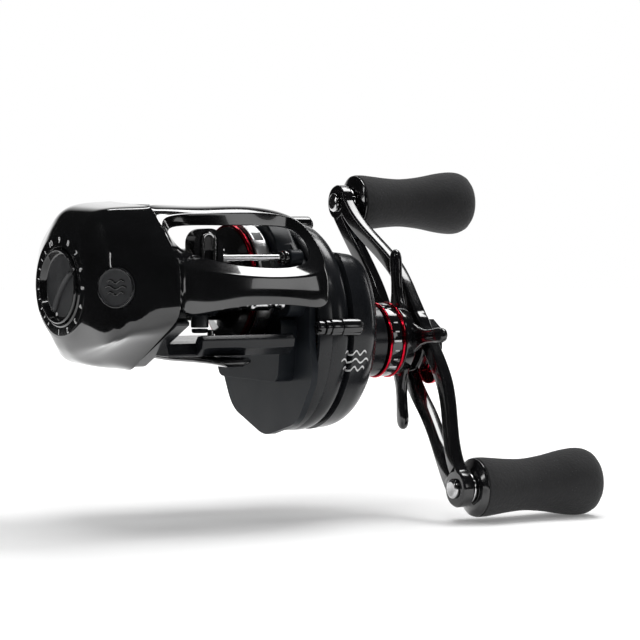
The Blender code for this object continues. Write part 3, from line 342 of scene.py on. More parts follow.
def settle(obj):
    """Turns the object's modifiers into its own mesh."""
    view = bpy.context.evaluated_depsgraph_get()
    mesh = bpy.data.meshes.new_from_object(obj.evaluated_get(view))
    old, name = obj.data, obj.data.name
    obj.modifiers.clear()
    obj.data = mesh
    bpy.data.meshes.remove(old)
    mesh.name = name
    shade(mesh)
    return obj


def combine(target, operation, *tools):
    for tool in tools:
        step = target.modifiers.new("shape", "BOOLEAN")
        step.operation = operation
        step.solver = "EXACT"
        step.object = tool
    settle(target)
    for tool in tools:
        mesh = tool.data
        bpy.data.objects.remove(tool)
        bpy.data.meshes.remove(mesh)
    return target


def cut(target, *tools):
    return combine(target, "DIFFERENCE", *tools)


def join(target, *tools):
    return combine(target, "UNION", *tools)


def soften(obj, width, segments=3):
    """Rounds the object's edges and keeps its flat faces flat."""
    edge = obj.modifiers.new("edges", "BEVEL")
    edge.width = width * MM
    edge.segments = segments
    edge.limit_method = "ANGLE"
    edge.angle_limit = BEVEL_FROM
    edge.use_clamp_overlap = True
    settle(obj)
    even = obj.modifiers.new("even", "WEIGHTED_NORMAL")
    even.keep_sharp = True
    return obj


def wire(name, points, radius, look, place, sides=10):
    """A round bar along a list of points, each end closed."""
    curve = bpy.data.curves.new(name, "CURVE")
    curve.dimensions = "3D"
    curve.bevel_depth = radius * MM
    curve.bevel_resolution = sides // 2
    curve.use_fill_caps = True
    spline = curve.splines.new("POLY")
    spline.points.add(len(points) - 1)
    for target, point in zip(spline.points, points):
        target.co = (*(Vector(place @ Vector(point)) * MM), 1.0)
    made = bpy.data.objects.new(name, curve)
    bpy.context.scene.collection.objects.link(made)
    view = bpy.context.evaluated_depsgraph_get()
    mesh = bpy.data.meshes.new_from_object(made.evaluated_get(view))
    bpy.data.objects.remove(made)
    bpy.data.curves.remove(curve)
    mesh.materials.clear()
    mesh.materials.append(look)
    shade(mesh)
    made = bpy.data.objects.new(name, mesh)
    bpy.context.scene.collection.objects.link(made)
    return made


def lay_on(obj, target, direction, lift, thickness):
    """Drops each point of obj onto target along direction, then lifts it off the surface."""
    tree = BVHTree.FromObject(target, bpy.context.evaluated_depsgraph_get())
    direction = Vector(direction).normalized()
    for vertex in obj.data.vertices:
        hit, normal, _, _ = tree.ray_cast(vertex.co - direction * 0.03, direction)
        if hit is not None:
            if normal.dot(direction) > 0:
                normal = -normal
            vertex.co = hit + normal * lift * MM
    wall = obj.modifiers.new("ink", "SOLIDIFY")
    wall.thickness = thickness * MM
    wall.offset = 0.0
    settle(obj)


def fit(obj, body, slot, *nodes):
    """The piece rides on a CAD body and stands for CAD nodes, which it hides. The slot is not used."""
    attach(obj, body)
    if nodes:
        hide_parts(*nodes)


# ------------------------------------------------------------------ palm side plate

PALM = {  # x: (y, z, corner radius) from the spool axis, clockwise from the nose
    -19.0: [(-36.6, 6.3, 5), (-19.0, 20.4, 8), (12.0, 22.3, 14), (31.0, 13.0, 12),
            (37.0, -1.0, 10), (28.0, -15.0, 10), (9.0, -22.0, 8), (-6.0, -22.0, 8),
            (-36.6, -7.2, 3)],
    -27.0: [(-29.9, 7.2, 5), (-15.5, 20.0, 8), (12.0, 21.6, 12), (28.5, 12.5, 12),
            (33.4, -1.0, 10), (25.5, -14.5, 10), (10.0, -21.0, 8), (-1.0, -21.0, 8),
            (-29.9, -10.4, 3)],
    -31.5: [(-26.0, 7.4, 5), (-13.0, 18.8, 8), (10.0, 20.0, 12), (23.2, 11.0, 10),
            (26.8, -1.0, 8), (21.0, -12.8, 8), (9.0, -19.4, 8), (0.5, -19.4, 8),
            (-25.9, -12.6, 3)],
    -34.6: [(-23.2, 6.6, 5), (-10.0, 15.4, 8), (7.0, 16.6, 9), (15.5, 9.2, 8),
            (17.4, -0.5, 6), (13.6, -10.0, 6), (5.5, -16.4, 6), (-1.0, -17.0, 6),
            (-22.2, -13.0, 3)],
}
PALM_ANGLES = 180


def polar(outline, angle):
    """How far the outline lies from its centre in the direction of the angle, from +Z to +Y."""
    uy, uz = sin(angle), cos(angle)
    best = 0.0
    for (y0, z0), (y1, z1) in zip(outline, outline[1:] + outline[:1]):
        dy, dz = y1 - y0, z1 - z0
        across = uy * dz - uz * dy
        if abs(across) < 1e-9:
            continue
        reach = (y0 * dz - z0 * dy) / across
        share = (y0 * uz - z0 * uy) / across
        if reach > 0 and -1e-6 <= share <= 1 + 1e-6:
            best = max(best, reach)
    return best


def even_out(values, rounds):
    """Softens the corners of a closed run of radii."""
    for _ in range(rounds):
        values = [(values[k - 1] + 2 * values[k] + values[(k + 1) % len(values)]) / 4
            for k in range(len(values))]
    return values


def palm_side():
    angles = [2 * pi * k / PALM_ANGLES for k in range(PALM_ANGLES)]
    sections = []
    for x in sorted(PALM, reverse=True):
        outline = bend(PALM[x], steps=8, arc=False)
        sections.append((x, even_out([polar(outline, a) for a in angles], 4)))
    sections.append((DIAL_X, [13.4] * PALM_ANGLES))
    columns = []
    for k in range(PALM_ANGLES):
        column = flow([Vector((x, radii[k])) for x, radii in sections], 7)
        first = column[0].copy()
        column[0] = first + Vector((-0.22, 0.0))
        column = [first + Vector((0.0, -1.5)), first + Vector((0.0, -0.22)), *column]
        column += [Vector((DIAL_X, 12.4)), Vector((DIAL_X + 1.8, 11.2)), Vector((DIAL_X + 1.8, 3.0)),
            Vector((DIAL_X + 3.3, 3.0)), Vector((DIAL_X + 3.3, 12.2))]
        inner = [Vector((x + 1.6, radii[k] - 1.8)) for x, radii in sections[1:4]]
        columns.append(column + inner[::-1])
    rings = []
    for i in range(len(columns[0])):
        ring = []
        for angle, column in zip(angles, columns):
            x, radius = column[i]
            y, z = radius * sin(angle), radius * cos(angle)
            lean = DIAL_LEAN * max(0.0, (-x - 27.0) / (-DIAL_X - 27.0))
            ring.append((x - lean * y, y, z))
        rings.append(ring)
    plate = loft("palm_plate", rings, LACQUER, on(SPOOL), closed=True)

    # Where the real surface lies under the badge, so that the badge is seated on it
    tree = BVHTree.FromObject(plate, bpy.context.evaluated_depsgraph_get())
    inward = (BADGE_PLACE.to_3x3() @ Vector((1.0, 0.0, 0.0))).normalized()
    middle = BADGE_PLACE.to_translation() * MM
    hit = tree.ray_cast(middle - inward * 0.02, inward)[0]
    sunk = 0.0 if hit is None else (hit - middle).dot(inward) / MM
    seat = BADGE_PLACE @ shift((max(-0.5, min(0.5, sunk)), 0.0, 0.0))
    cut(plate, turned("badge_pocket", [(-4.0, 5.35), (0.7, 5.25)], LACQUER, seat))
    fit(plate, "reel_body", "gloss_black", "palm_side_plate")

    fit(turned("badge_disc", [(0.4, 5.1), (-0.3, 5.1, 0.2), (-0.62, 4.85, 0.14), (-0.62, 4.6, 0.12),
        (-0.28, 4.35, 0.1)], INSET, seat), "reel_body", "satin_black", "side_badge")
    fit(lathe("badge_rim", [(-0.3, 4.66, 0.08), (-0.7, 4.66, 0.12), (-0.7, 4.98, 0.14), (-0.3, 5.06)],
        LACQUER, seat), "reel_body", "gloss_black")
    for row, height in enumerate((1.5, 0.0, -1.5)):
        half = 2.9 if row == 1 else 2.3
        run = [(-0.34, half * (2 * k / 28 - 1), height + 0.42 * sin(2 * pi * (k / 28) * 1.5))
            for k in range(29)]
        fit(wire(f"badge_wave_{row}", run, 0.24, LACQUER, seat), "reel_body", "gloss_black")


NUMBERS_FROM, NUMBERS_STEP, NUMBERS_RADIUS = radians(-24.6), radians(23.2), 11.85
TICKS_STEP = radians(13.0)


def brake_dial():
    bezel = lathe("dial_bezel", [(-0.05, 10.05, 0.1), (-0.36, 10.05, 0.12), (-0.36, 10.4, 0.15),
        (-0.03, 10.65, 0.15), (-0.03, 12.9, 0.05), (0.6, 12.95), (0.6, 10.05)], LACQUER, DIAL_PLACE,
        sides=128)
    fit(bezel, "reel_body", "gloss_black")
    fit(turned("dial_cup", [(1.5, 9.75), (-0.9, 9.75, 0.3), (-1.15, 9.45, 0.2), (-1.15, 9.1, 0.18),
        (0.55, 8.5, 0.35)], LACQUER, DIAL_PLACE, sides=128), "dial", "gloss_black", "brake_dial")
    fit(turned("dial_floor", [(0.7, 8.2), (0.45, 8.1, 0.1), (0.36, 7.9, 0.1)], INSET, DIAL_PLACE, sides=96),
        "dial", "gloss_black")

    # Curved finger rib from the upper front to the lower rear
    rings = []
    for k in range(25):
        t = k / 24
        y, z = -6.7 + 10.2 * t, 4.2 - 11.0 * t
        bow = 1.35 * sin(pi * t)
        y, z = y + bow * 0.73, z + bow * 0.68
        ends = min(1.0, t / 0.1, (1 - t) / 0.08)
        half, height = 0.95 * sqrt(max(0.05, ends)), 1.15 * sqrt(max(0.05, ends))
        ring = []
        for i in range(12):
            angle = 2 * pi * i / 12
            across, rise = half * cos(angle), height * max(-0.25, sin(angle))
            ring.append((0.4 - rise, y + across * 0.73, z + across * 0.68))
        rings.append(ring)
    fit(loft("dial_rib", rings, INSET, DIAL_PLACE), "dial", "gloss_black")
    fit(turned("dial_pointer", [(0.5, 0.5), (0.28, 0.5, 0.1)], PRINT, DIAL_PLACE @ shift((0.0, 2.6, -7.3)),
        sides=32), "dial", "gloss_black")

    # Numbers on the plate around the dial
    outward = (DIAL_PLACE.to_3x3() @ Vector((1.0, 0.0, 0.0))).normalized()
    for count in range(1, 11):
        angle = NUMBERS_FROM + (10 - count) * NUMBERS_STEP
        text = bpy.data.curves.new(f"dial_number_{count}", "FONT")
        text.body = str(count)
        text.size, text.offset = 2.1, 0.02
        text.align_x, text.align_y = "CENTER", "CENTER"
        made = bpy.data.objects.new("text", text)
        bpy.context.scene.collection.objects.link(made)
        view = bpy.context.evaluated_depsgraph_get()
        mesh = bpy.data.meshes.new_from_object(made.evaluated_get(view))
        bpy.data.objects.remove(made)
        bpy.data.curves.remove(text)
        # text x points to the front (-Y), text y points up, seen from the palm side
        seat = Matrix(((0.0, 0.0, -1.0, -0.4), (-1.0, 0.0, 0.0, -NUMBERS_RADIUS * sin(angle)),
                       (0.0, 1.0, 0.0, NUMBERS_RADIUS * cos(angle)), (0.0, 0.0, 0.0, 1.0)))
        turn = rotate(-angle, 4, "Z")
        mesh.transform(Matrix.Scale(MM, 4) @ DIAL_PLACE @ seat @ turn)
        mesh.materials.clear()
        mesh.materials.append(PRINT)
        number = bpy.data.objects.new(f"dial_number_{count}", mesh)
        bpy.context.scene.collection.objects.link(number)
        lay_on(number, bezel, outward, 0.04, 0.04)
        fit(number, "reel_body", "gloss_black")
    for index in range(9):
        angle = NUMBERS_FROM - (index + 1.4) * TICKS_STEP
        fit(block(f"dial_tick_{index}", (-0.02, -0.13, -0.42 - 0.22 * (index % 3 == 0)), (0.06, 0.13, 0.42),
            PRINT, DIAL_PLACE @ rotate(angle, 4, "X") @ shift((-0.06, 0.0, 11.8))), "reel_body",
            "gloss_black")


# ------------------------------------------------------------------ frame

PALM_WALL = [(-30.2, 2.6, 3), (-18.4, 13.6, 5), (-10.8, 16.0, 1), (-10.2, 21.0, 1), (12.0, 21.6, 13),
             (30.2, 12.6, 12), (36.0, -1.0, 10), (27.2, -14.6, 10), (9.0, -21.2, 8),
             (-6.0, -21.2, 8), (-34.8, -8.9, 1), (-31.6, -7.9, 0.5)]
GEAR_WALL = [(-26.2, 1.0, 3), (-21.0, 6.4, 3), (-9.6, 15.6, 2), (-8.0, 17.8, 2), (12.0, 18.0, 10),
             (28.0, 12.0, 10), (32.0, -3.0, 9), (28.6, -20.0, 8), (20.0, -34.6, 12),
             (0.0, -41.2, 14), (-19.0, -36.4, 12), (-28.2, -24.0, 9), (-26.2, -14.0, 4)]
FRONT_BAR = [(-26.4, -13.6, 0.6), (-25.2, -12.4, 0.6), (-22.8, -12.8, 0.6), (-21.0, -14.9, 1.2),
             (-18.0, -15.5, 0.4), (-18.0, -17.9, 0.4), (-22.5, -17.9, 1.0), (-25.8, -15.8, 1.2)]
DECK = [(-22.5, -17.9, 0.5), (22.0, -17.9, 0.8), (24.0, -16.4, 0.6), (24.0, -14.6, 0.5),
        (-21.0, -14.6, 0.5)]
REAR_TIE = [(18.6, -9.4, 1.2), (24.0, -9.4, 2), (25.0, -4.4, 2), (18.4, -4.4, 1.2)]


def bar_x(x0, x1, radius, axis):
    return turned("tool", [(x0, radius), (x1, radius)], MATT, on(axis))


def frame_pieces():
    wall = slab("frame_palm_wall", bend(PALM_WALL, steps=10), -18.7, -15.4, SATIN, on(SPOOL))
    cut(wall, bar_x(-25.0, -14.0, 17.0, SPOOL), bar_x(-30.0, -14.0, 1.55, WORM), bar_x(-17.4, -14.0, 1.2,
        ROD))
    fit(soften(wall, 0.3), "reel_body", "satin_black", "frame")

    gear = slab("frame_gear_wall", bend(GEAR_WALL, steps=10), 22.4, 24.2, MATT, on(SPOOL))
    join(gear, turned("spool_seat", [(18.2, 18.6, 0.5), (23.0, 19.0)], MATT, on(SPOOL), sides=128))
    cut(gear, bar_x(13.0, 19.9, 15.5, SPOOL), bar_x(15.0, 30.0, 5.3, SPOOL), bar_x(20.4, 30.0, 5.3, DRIVE),
        bar_x(15.0, 30.0, 1.75, WORM), block("cam_slot", (15.0, 19.0, -2.8), (30.0, 23.2, 6.2), MATT,
        on(SPOOL)))
    fit(soften(gear, 0.25), "reel_body", "satin_black", "frame")

    lower = slab("frame_gear_lower", bend([(-19.5, -8.6, 2), (16.0, -9.0, 2), (20.0, -25.6, 3),
        (-17.0, -25.6, 3)]), 17.7, 22.9, MATT, on(SPOOL))
    cut(lower, bar_x(13.0, 19.9, 15.5, SPOOL), bar_x(20.4, 30.0, 5.3, DRIVE), bar_x(15.0, 18.9,
        SPOOL_Z - 3.4, SPOOL))
    fit(soften(lower, 1.4, 5), "reel_body", "satin_black", "frame")

    for name, outline, x0, x1 in (("frame_deck", DECK, -15.9, 18.1), ("frame_front_bar", FRONT_BAR, -8.2,
            18.2), ("frame_rear_tie", REAR_TIE, -16.0, 18.3)):
        bar = slab(name, bend(outline), x0, x1, SATIN, on(SPOOL))
        if name == "frame_deck":
            for y in (-13.5, 13.5):
                hole = turned("tool", [(-40.0, 1.25), (40.0, 1.25)], SATIN, shift((0.0, y, 0.0))
                    @ rotate(pi / 2, 4, "Y"))
                cut(bar, hole)
        fit(soften(bar, 0.25), "reel_body", "satin_black", "frame")

    fit(lathe("frame_worm_lug", [(17.9, 1.75), (17.9, 4.3, 0.4), (22.6, 4.3), (22.6, 1.75)], MATT, on(WORM),
        sides=64), "reel_body", "satin_black", "frame")
    fit(lathe("frame_rod_lug", [(18.0, 1.2), (18.0, 2.1, 0.4), (21.7, 2.1, 0.4), (21.7, 1.2)], MATT,
        on(ROD), sides=48), "reel_body", "satin_black", "frame")
    fit(soften(block("frame_rod_web", (19.1, -22.6, 5.9), (21.6, -16.0, 8.5), MATT, on(SPOOL)), 0.5),
        "reel_body", "satin_black", "frame")
    for index, y in enumerate((-8.4, 8.4)):
        fit(turned(f"frame_yoke_post_{index}", [(23.0, 0.85), (39.7, 0.85), (39.7, 1.6, 0.1),
            (40.2, 1.6, 0.2)], STEEL, on((y, SPOOL_Z + 3.3)), sides=32), "reel_body", "satin_black",
            "frame")


def reel_foot():
    rings = []
    for y, width, top in ((-28.0, 3.4, 1.3), (-27.5, 4.4, 1.55), (-26.2, 5.4, 1.8), (-24.0, 5.9, 2.05),
            (-16.0, 6.0, 2.2), (0.0, 6.0, 2.2), (18.0, 6.0, 2.2), (26.0, 5.9, 2.1), (29.0, 5.4, 1.85),
            (30.5, 4.4, 1.6), (31.0, 3.4, 1.3)):
        rise = 0.5 + 0.4 * min(1.0, abs(y) / 20.0)
        side = [(-width, rise, 0.25), (-2.2, 0.0), (2.2, 0.0), (width, rise, 0.25), (width, top, 0.4),
            (-width, top, 0.4)]
        rings.append([(x, y, z) for x, z in bend(side, steps=3)])
    foot = loft("foot_plate", rings, LACQUER, HERE)
    down = rotate(-pi / 2, 4, "Y")
    for y in (-13.5, 13.5):
        here = shift((0.0, y, 0.0)) @ down
        cut(foot, turned("tool", [(-1.0, 2.3), (1.15, 2.3), (1.15, 1.25), (4.0, 1.25)], LACQUER, here,
            sides=48))
    fit(foot, "reel_body", "gloss_black", "reel_foot")
    for node, y in (("foot_screw_front", -13.5), ("foot_screw_rear", 13.5)):
        here = shift((0.0, y, 0.0)) @ down
        screw = turned(node + "_body", [(0.35, 1.7, 0.2), (0.6, 1.95, 0.1), (0.95, 1.95), (0.95, 0.9),
            (9.0, 0.9, 0.3)], STEEL, here, sides=48)
        cut(screw, block("tool", (-0.5, y - 1.2, -1.0), (0.5, y + 1.2, 0.72), STEEL, HERE),
            block("tool", (-1.2, y - 0.5, -1.0), (1.2, y + 0.5, 0.71), STEEL, HERE))
        fit(screw, "reel_body", "steel", node)


# ------------------------------------------------------------------ front cowl

COWL = [  # stations around the line window, each from the outer edge to the window edge
    [(-18.6, -34.6, -7.2), (-18.6, -36.0, -2.0), (-18.4, -34.6, 5.0), (-14.4, -27.4, 9.2)],
    [(-10.5, -32.5, -6.3), (-10.5, -33.0, -2.0), (-10.5, -31.8, 4.2), (-9.0, -27.6, 7.4)],
    [(0.0, -30.4, -4.9), (0.0, -30.9, -1.6), (0.0, -30.4, 2.8), (0.0, -27.3, 5.4)],
    [(10.0, -30.0, -4.5), (10.0, -30.5, -1.4), (10.0, -30.0, 2.1), (10.0, -27.2, 4.4)],
    [(19.0, -30.3, -5.0), (19.0, -30.8, -1.8), (19.0, -30.2, 2.4), (18.4, -27.2, 4.6)],
    [(26.6, -30.7, -6.6), (26.8, -31.2, -2.0), (26.0, -30.2, 3.4), (22.8, -26.8, 6.6)],
    [(27.0, -27.6, 5.2), (26.9, -26.9, 7.6), (25.8, -25.4, 10.4), (23.6, -23.6, 10.8)],
    [(26.0, -19.8, 13.2), (25.4, -19.8, 15.0), (24.4, -19.6, 15.8), (22.6, -18.9, 13.8)],
    [(23.4, -11.5, 18.8), (22.6, -14.5, 19.2), (21.4, -17.2, 18.2), (20.4, -17.9, 15.6)],
    [(11.0, -10.8, 21.2), (11.0, -14.6, 21.2), (11.0, -18.2, 19.2), (11.0, -18.3, 15.6)],
    [(-3.0, -10.8, 20.4), (-3.0, -15.0, 20.2), (-3.0, -18.6, 18.6), (-3.0, -18.7, 15.6)],
    [(-18.6, -11.5, 21.4), (-18.6, -16.4, 20.6), (-17.6, -19.6, 18.4), (-15.6, -18.8, 15.6)],
    [(-18.6, -19.2, 19.0), (-18.6, -22.6, 16.0), (-17.8, -24.2, 13.6), (-15.4, -22.4, 12.6)],
    [(-18.6, -36.0, 2.6), (-18.6, -31.5, 8.8), (-18.0, -28.8, 11.0), (-15.2, -25.8, 10.6)],
]


def front_cowl():
    bm = bmesh.new()
    crease = bm.edges.layers.float.new("crease_edge")
    rows = [[bm.verts.new(point) for point in station] for station in COWL]
    for this, other in zip(rows, rows[1:] + rows[:1]):
        for i in range(3):
            bm.faces.new((this[i], this[i + 1], other[i + 1], other[i]))
    for this, other in zip(rows, rows[1:] + rows[:1]):
        bm.edges.get((this[2], other[2]))[crease] = 0.75
    cowl = piece("cowl_shell", bm, LACQUER, on(SPOOL))
    smooth = cowl.modifiers.new("smooth", "SUBSURF")
    smooth.levels = smooth.render_levels = 4
    wall = cowl.modifiers.new("wall", "SOLIDIFY")
    wall.thickness = 1.5 * MM
    wall.offset = -1.0
    settle(cowl)
    edge = cowl.modifiers.new("edges", "BEVEL")
    edge.width = 0.32 * MM
    edge.segments = 3
    edge.limit_method = "ANGLE"
    edge.angle_limit = radians(60)
    settle(cowl)
    fit(cowl, "reel_body", "gloss_black", "front_cowl")


# ------------------------------------------------------------------ gear side

CASE_ANGLES = 240
MARK_X, MARK_Z = 35.2, 0.6  # middle of the printed mark on the case front
CASE_Y, CASE_DZ, CASE_RADIUS = -1.0, -11.7, 28.0
DRIVE_Y, DRIVE_DZ = -7.3, -15.6
HUMPS = ((6.0, 4.3, 14.0), (17.0, 0.0, 15.0))  # y, z from the spool axis, radius


def case_radius(angle, top, hump):
    """Distance from the drive axis to the gear side outline; the angle runs from +Z to +Y."""
    uy, uz = sin(angle), cos(angle)
    oy, oz = CASE_Y - DRIVE_Y, CASE_DZ - DRIVE_DZ
    along = oy * uy + oz * uz
    reach = along + sqrt(along ** 2 - oy ** 2 - oz ** 2 + CASE_RADIUS ** 2)
    if hump:
        for hump_y, hump_z, radius in HUMPS:
            cy, cz = hump_y - DRIVE_Y, hump_z - DRIVE_DZ
            along = cy * uy + cz * uz
            inside = along ** 2 - cy ** 2 - cz ** 2 + radius ** 2
            if inside > 0 and along > 0:
                reach = max(reach, along + sqrt(inside))
    if uz > 0 and top is not None:
        reach = min(reach, (top - DRIVE_DZ) / uz)
    return reach


def section(x, top=None, hump=False, scale=1.0, inset=0.0, flat=None):
    """(x, radii) of one section of the gear side; flat makes it round."""
    if flat is not None:
        return x, [flat] * CASE_ANGLES
    radii = [case_radius(2 * pi * k / CASE_ANGLES, top, hump) * scale - inset for k in range(CASE_ANGLES)]
    return x, even_out(radii, 10)


def case_rings(sections):
    turns = [2 * pi * k / CASE_ANGLES for k in range(CASE_ANGLES)]
    return [[(x, r * sin(angle), r * cos(angle)) for r, angle in zip(radii, turns)] for x,
        radii in sections]


def flowing(sections, steps):
    """More sections between the given ones, on smooth curves."""
    columns = [flow([Vector((x, radii[k])) for x, radii in sections], steps) for k in range(CASE_ANGLES)]
    return [(columns[0][i][0], [column[i][1] for column in columns]) for i in range(len(columns[0]))]


def gear_side():
    fit(loft("case_band", case_rings([section(24.23, hump=True, inset=0.3), section(24.8, hump=True),
        section(27.75, hump=True), section(28.0, hump=True, inset=0.25), section(28.0, hump=True,
        inset=1.7), section(24.23, hump=True, inset=1.7)]), SATIN, on(DRIVE), closed=True), "reel_body",
        "satin_black", "gear_side_ring")

    shoulder = flowing([section(34.2, top=8.6, inset=0.1), section(36.4, top=8.5, inset=0.3),
        section(39.0, top=8.3, inset=0.7), section(41.4, top=7.4, inset=2.0), section(43.8, top=6.6,
        scale=0.93, inset=3.6), section(45.3, top=5.8, scale=0.72, inset=2.6)], 5)
    outer = [section(28.03, hump=True, inset=0.3), section(28.6, hump=True), section(31.2, hump=True),
        section(32.3, hump=True, inset=0.25), section(33.1, hump=True, inset=0.9), section(33.6, hump=True,
        inset=1.9), *shoulder, section(46.0, flat=11.4), section(46.4, flat=10.3), section(46.9, flat=9.9),
        section(51.0, flat=9.9), section(51.3, flat=9.6), section(51.3, flat=7.9)]
    inner = [section(44.6, flat=7.9), section(43.8, top=5.0, scale=0.72, inset=3.4), section(42.2, top=6.3,
        scale=0.93, inset=4.2), section(40.3, top=7.6, inset=2.7), section(33.2, top=8.0, inset=2.2),
        section(32.0, hump=True, inset=2.2), section(28.03, hump=True, inset=1.6)]
    cover = loft("case_cover", case_rings(outer + inner), SATIN, on(DRIVE), closed=True)
    join(cover, turned("cap_boss", [(40.7, 6.55), (44.9, 6.55, 0.35)], SATIN, on(SPOOL)))
    cut(cover, turned("cap_pocket", [(30.0, 3.5), (43.9, 3.5), (43.9, 5.95), (60.0, 5.95)], SATIN,
        on(SPOOL)))
    fit(cover, "reel_body", "satin_black", "gear_side_cover")

    fit(turned("case_rear_boss", [(33.0, 2.3, 0.2), (39.0, 2.3, 0.6), (40.0, 1.3, 0.4)], ANODISED,
        on((6.0, SPOOL_Z + 15.9)), sides=48), "reel_body", "satin_black")

    # Screw boss on the front of the case: grooved barrel either side of the seam
    fit(lathe("case_boss", [(24.9, 0.95), (24.9, 2.05, 0.15), (26.0, 2.05, 0.1), (26.1, 1.75), (26.4, 1.75),
        (26.5, 2.2, 0.1), (29.3, 2.2, 0.1), (29.4, 1.95), (29.6, 1.95), (29.7, 2.3, 0.1), (34.9, 2.3, 0.5),
        (35.9, 1.5, 0.4), (35.9, 0.95)], ANODISED, on(BOSS), sides=64), "reel_body", "gloss_black")
    screw = turned("case_screw_body", [(22.6, 1.5, 0.2), (22.95, 1.9, 0.15), (24.4, 1.9, 0.1), (24.4, 0.9),
        (33.0, 0.9)], ANODISED, on(BOSS), sides=64)
    cut(screw, block("tool", (22.0, -2.5, -0.28), (23.2, 2.5, 0.28), ANODISED,
        on(BOSS) @ rotate(radians(24), 4, "X")))
    fit(soften(screw, 0.06, 2), "reel_body", "steel", "case_screw")
    return cover


def cover_mark(cover):
    """Three plain wave lines printed on the front of the case."""
    for row, (lift, half) in enumerate(((2.1, 3.2), (0.0, 4.2), (-2.1, 3.2))):
        bm = bmesh.new()
        pairs = []
        for k in range(41):
            x = MARK_X + half * (k / 20 - 1)
            z = MARK_Z + lift + 0.55 * sin(pi * k / 8)
            pairs.append([bm.verts.new((x, -40.0, z + side)) for side in (-0.24, 0.24)])
        for (a, b), (c, d) in zip(pairs, pairs[1:]):
            bm.faces.new((a, b, d, c))
        line = piece(f"mark_wave_{row}", bm, PRINT, HERE)
        lay_on(line, cover, (0.0, 1.0, 0.0), 0.04, 0.05)
        fit(line, "reel_body", "satin_black")


# ------------------------------------------------------------------ spool and line ring

def spool_group():
    fit(lathe("spool_body", [(-12.4, 8.0), (-12.4, 15.9, 0.3), (-11.3, 15.9, 0.3), (-10.7, 12.0, 2.0),
        (-9.4, 9.6, 1.5), (9.4, 9.6, 1.5), (10.7, 12.0, 2.0), (11.1, 15.3), (11.3, 15.1), (12.6, 15.1, 0.2),
        (12.6, 14.2, 0.2), (11.6, 13.4, 0.4), (11.2, 8.2, 0.8), (1.2, 7.8, 0.8), (1.2, 3.0),
        (12.6, 3.0, 0.2), (12.6, 1.5), (-12.4, 1.5), (-12.4, 3.0), (-1.2, 3.0), (-1.2, 7.8, 0.8),
        (-11.2, 8.0)], LACQUER, on(SPOOL), sides=144), "spool_rotor", "gloss_black", "spool")
    fit(lathe("spool_trim", [(11.35, 15.4), (11.35, 15.95, 0.2), (11.9, 16.1, 0.15), (12.4, 15.95, 0.15),
        (12.4, 15.4)], RED, on(SPOOL), sides=144), "spool_rotor", "red_anodised", "spool_trim_ring")
    shaft = turned("spool_axle", [(-27.4, 1.0), (-27.1, 1.2), (40.6, 1.2), (41.0, 0.9)], STEEL, on(SPOOL),
        sides=48)
    pin = turned("tool", [(-2.9, 0.55, 0.1), (2.9, 0.55, 0.1)], STEEL, shift((26.9, 0.0, SPOOL_Z))
        @ rotate(pi / 2, 4, "Y"), sides=24)
    join(shaft, pin)
    fit(shaft, "spool_rotor", "steel", "spool_shaft")

    fit(lathe("line_band", [(13.2, 15.6, 0.2), (13.2, 16.4, 0.25), (13.5, 16.5), (16.8, 16.5, 0.2),
        (17.2, 16.2), (17.2, 15.3), (19.5, 15.2), (19.5, 14.2), (14.2, 15.0)], BAND, on(SPOOL), sides=144),
        "reel_body", "steel", "line_ring")
    for index in range(12):
        turn = rotate(2 * pi * (index + 0.3) / 12, 4, "X")
        rings = []
        for k in range(9):
            angle = radians(-5.6 + 11.2 * k / 8)
            rings.append([(x, r * sin(angle), r * cos(angle)) for x, r in ((13.9, 16.35), (13.9, 16.56),
                (16.5, 16.56), (16.5, 16.35))])
        fit(loft(f"line_band_inlay_{index}", rings, NYLON, on(SPOOL) @ turn), "reel_body", "steel")


# ------------------------------------------------------------------ level wind

GUIDE_HALF, GUIDE_TUBE = 4.1, 4.09  # half widths of the housing and of its tube


def arch(half, bottom, top, radius):
    return bend([(GUIDE_X - half, bottom, 0.3), (GUIDE_X - half, top, radius), (GUIDE_X + half, top,
        radius), (GUIDE_X + half, bottom, 0.3)], steps=10)


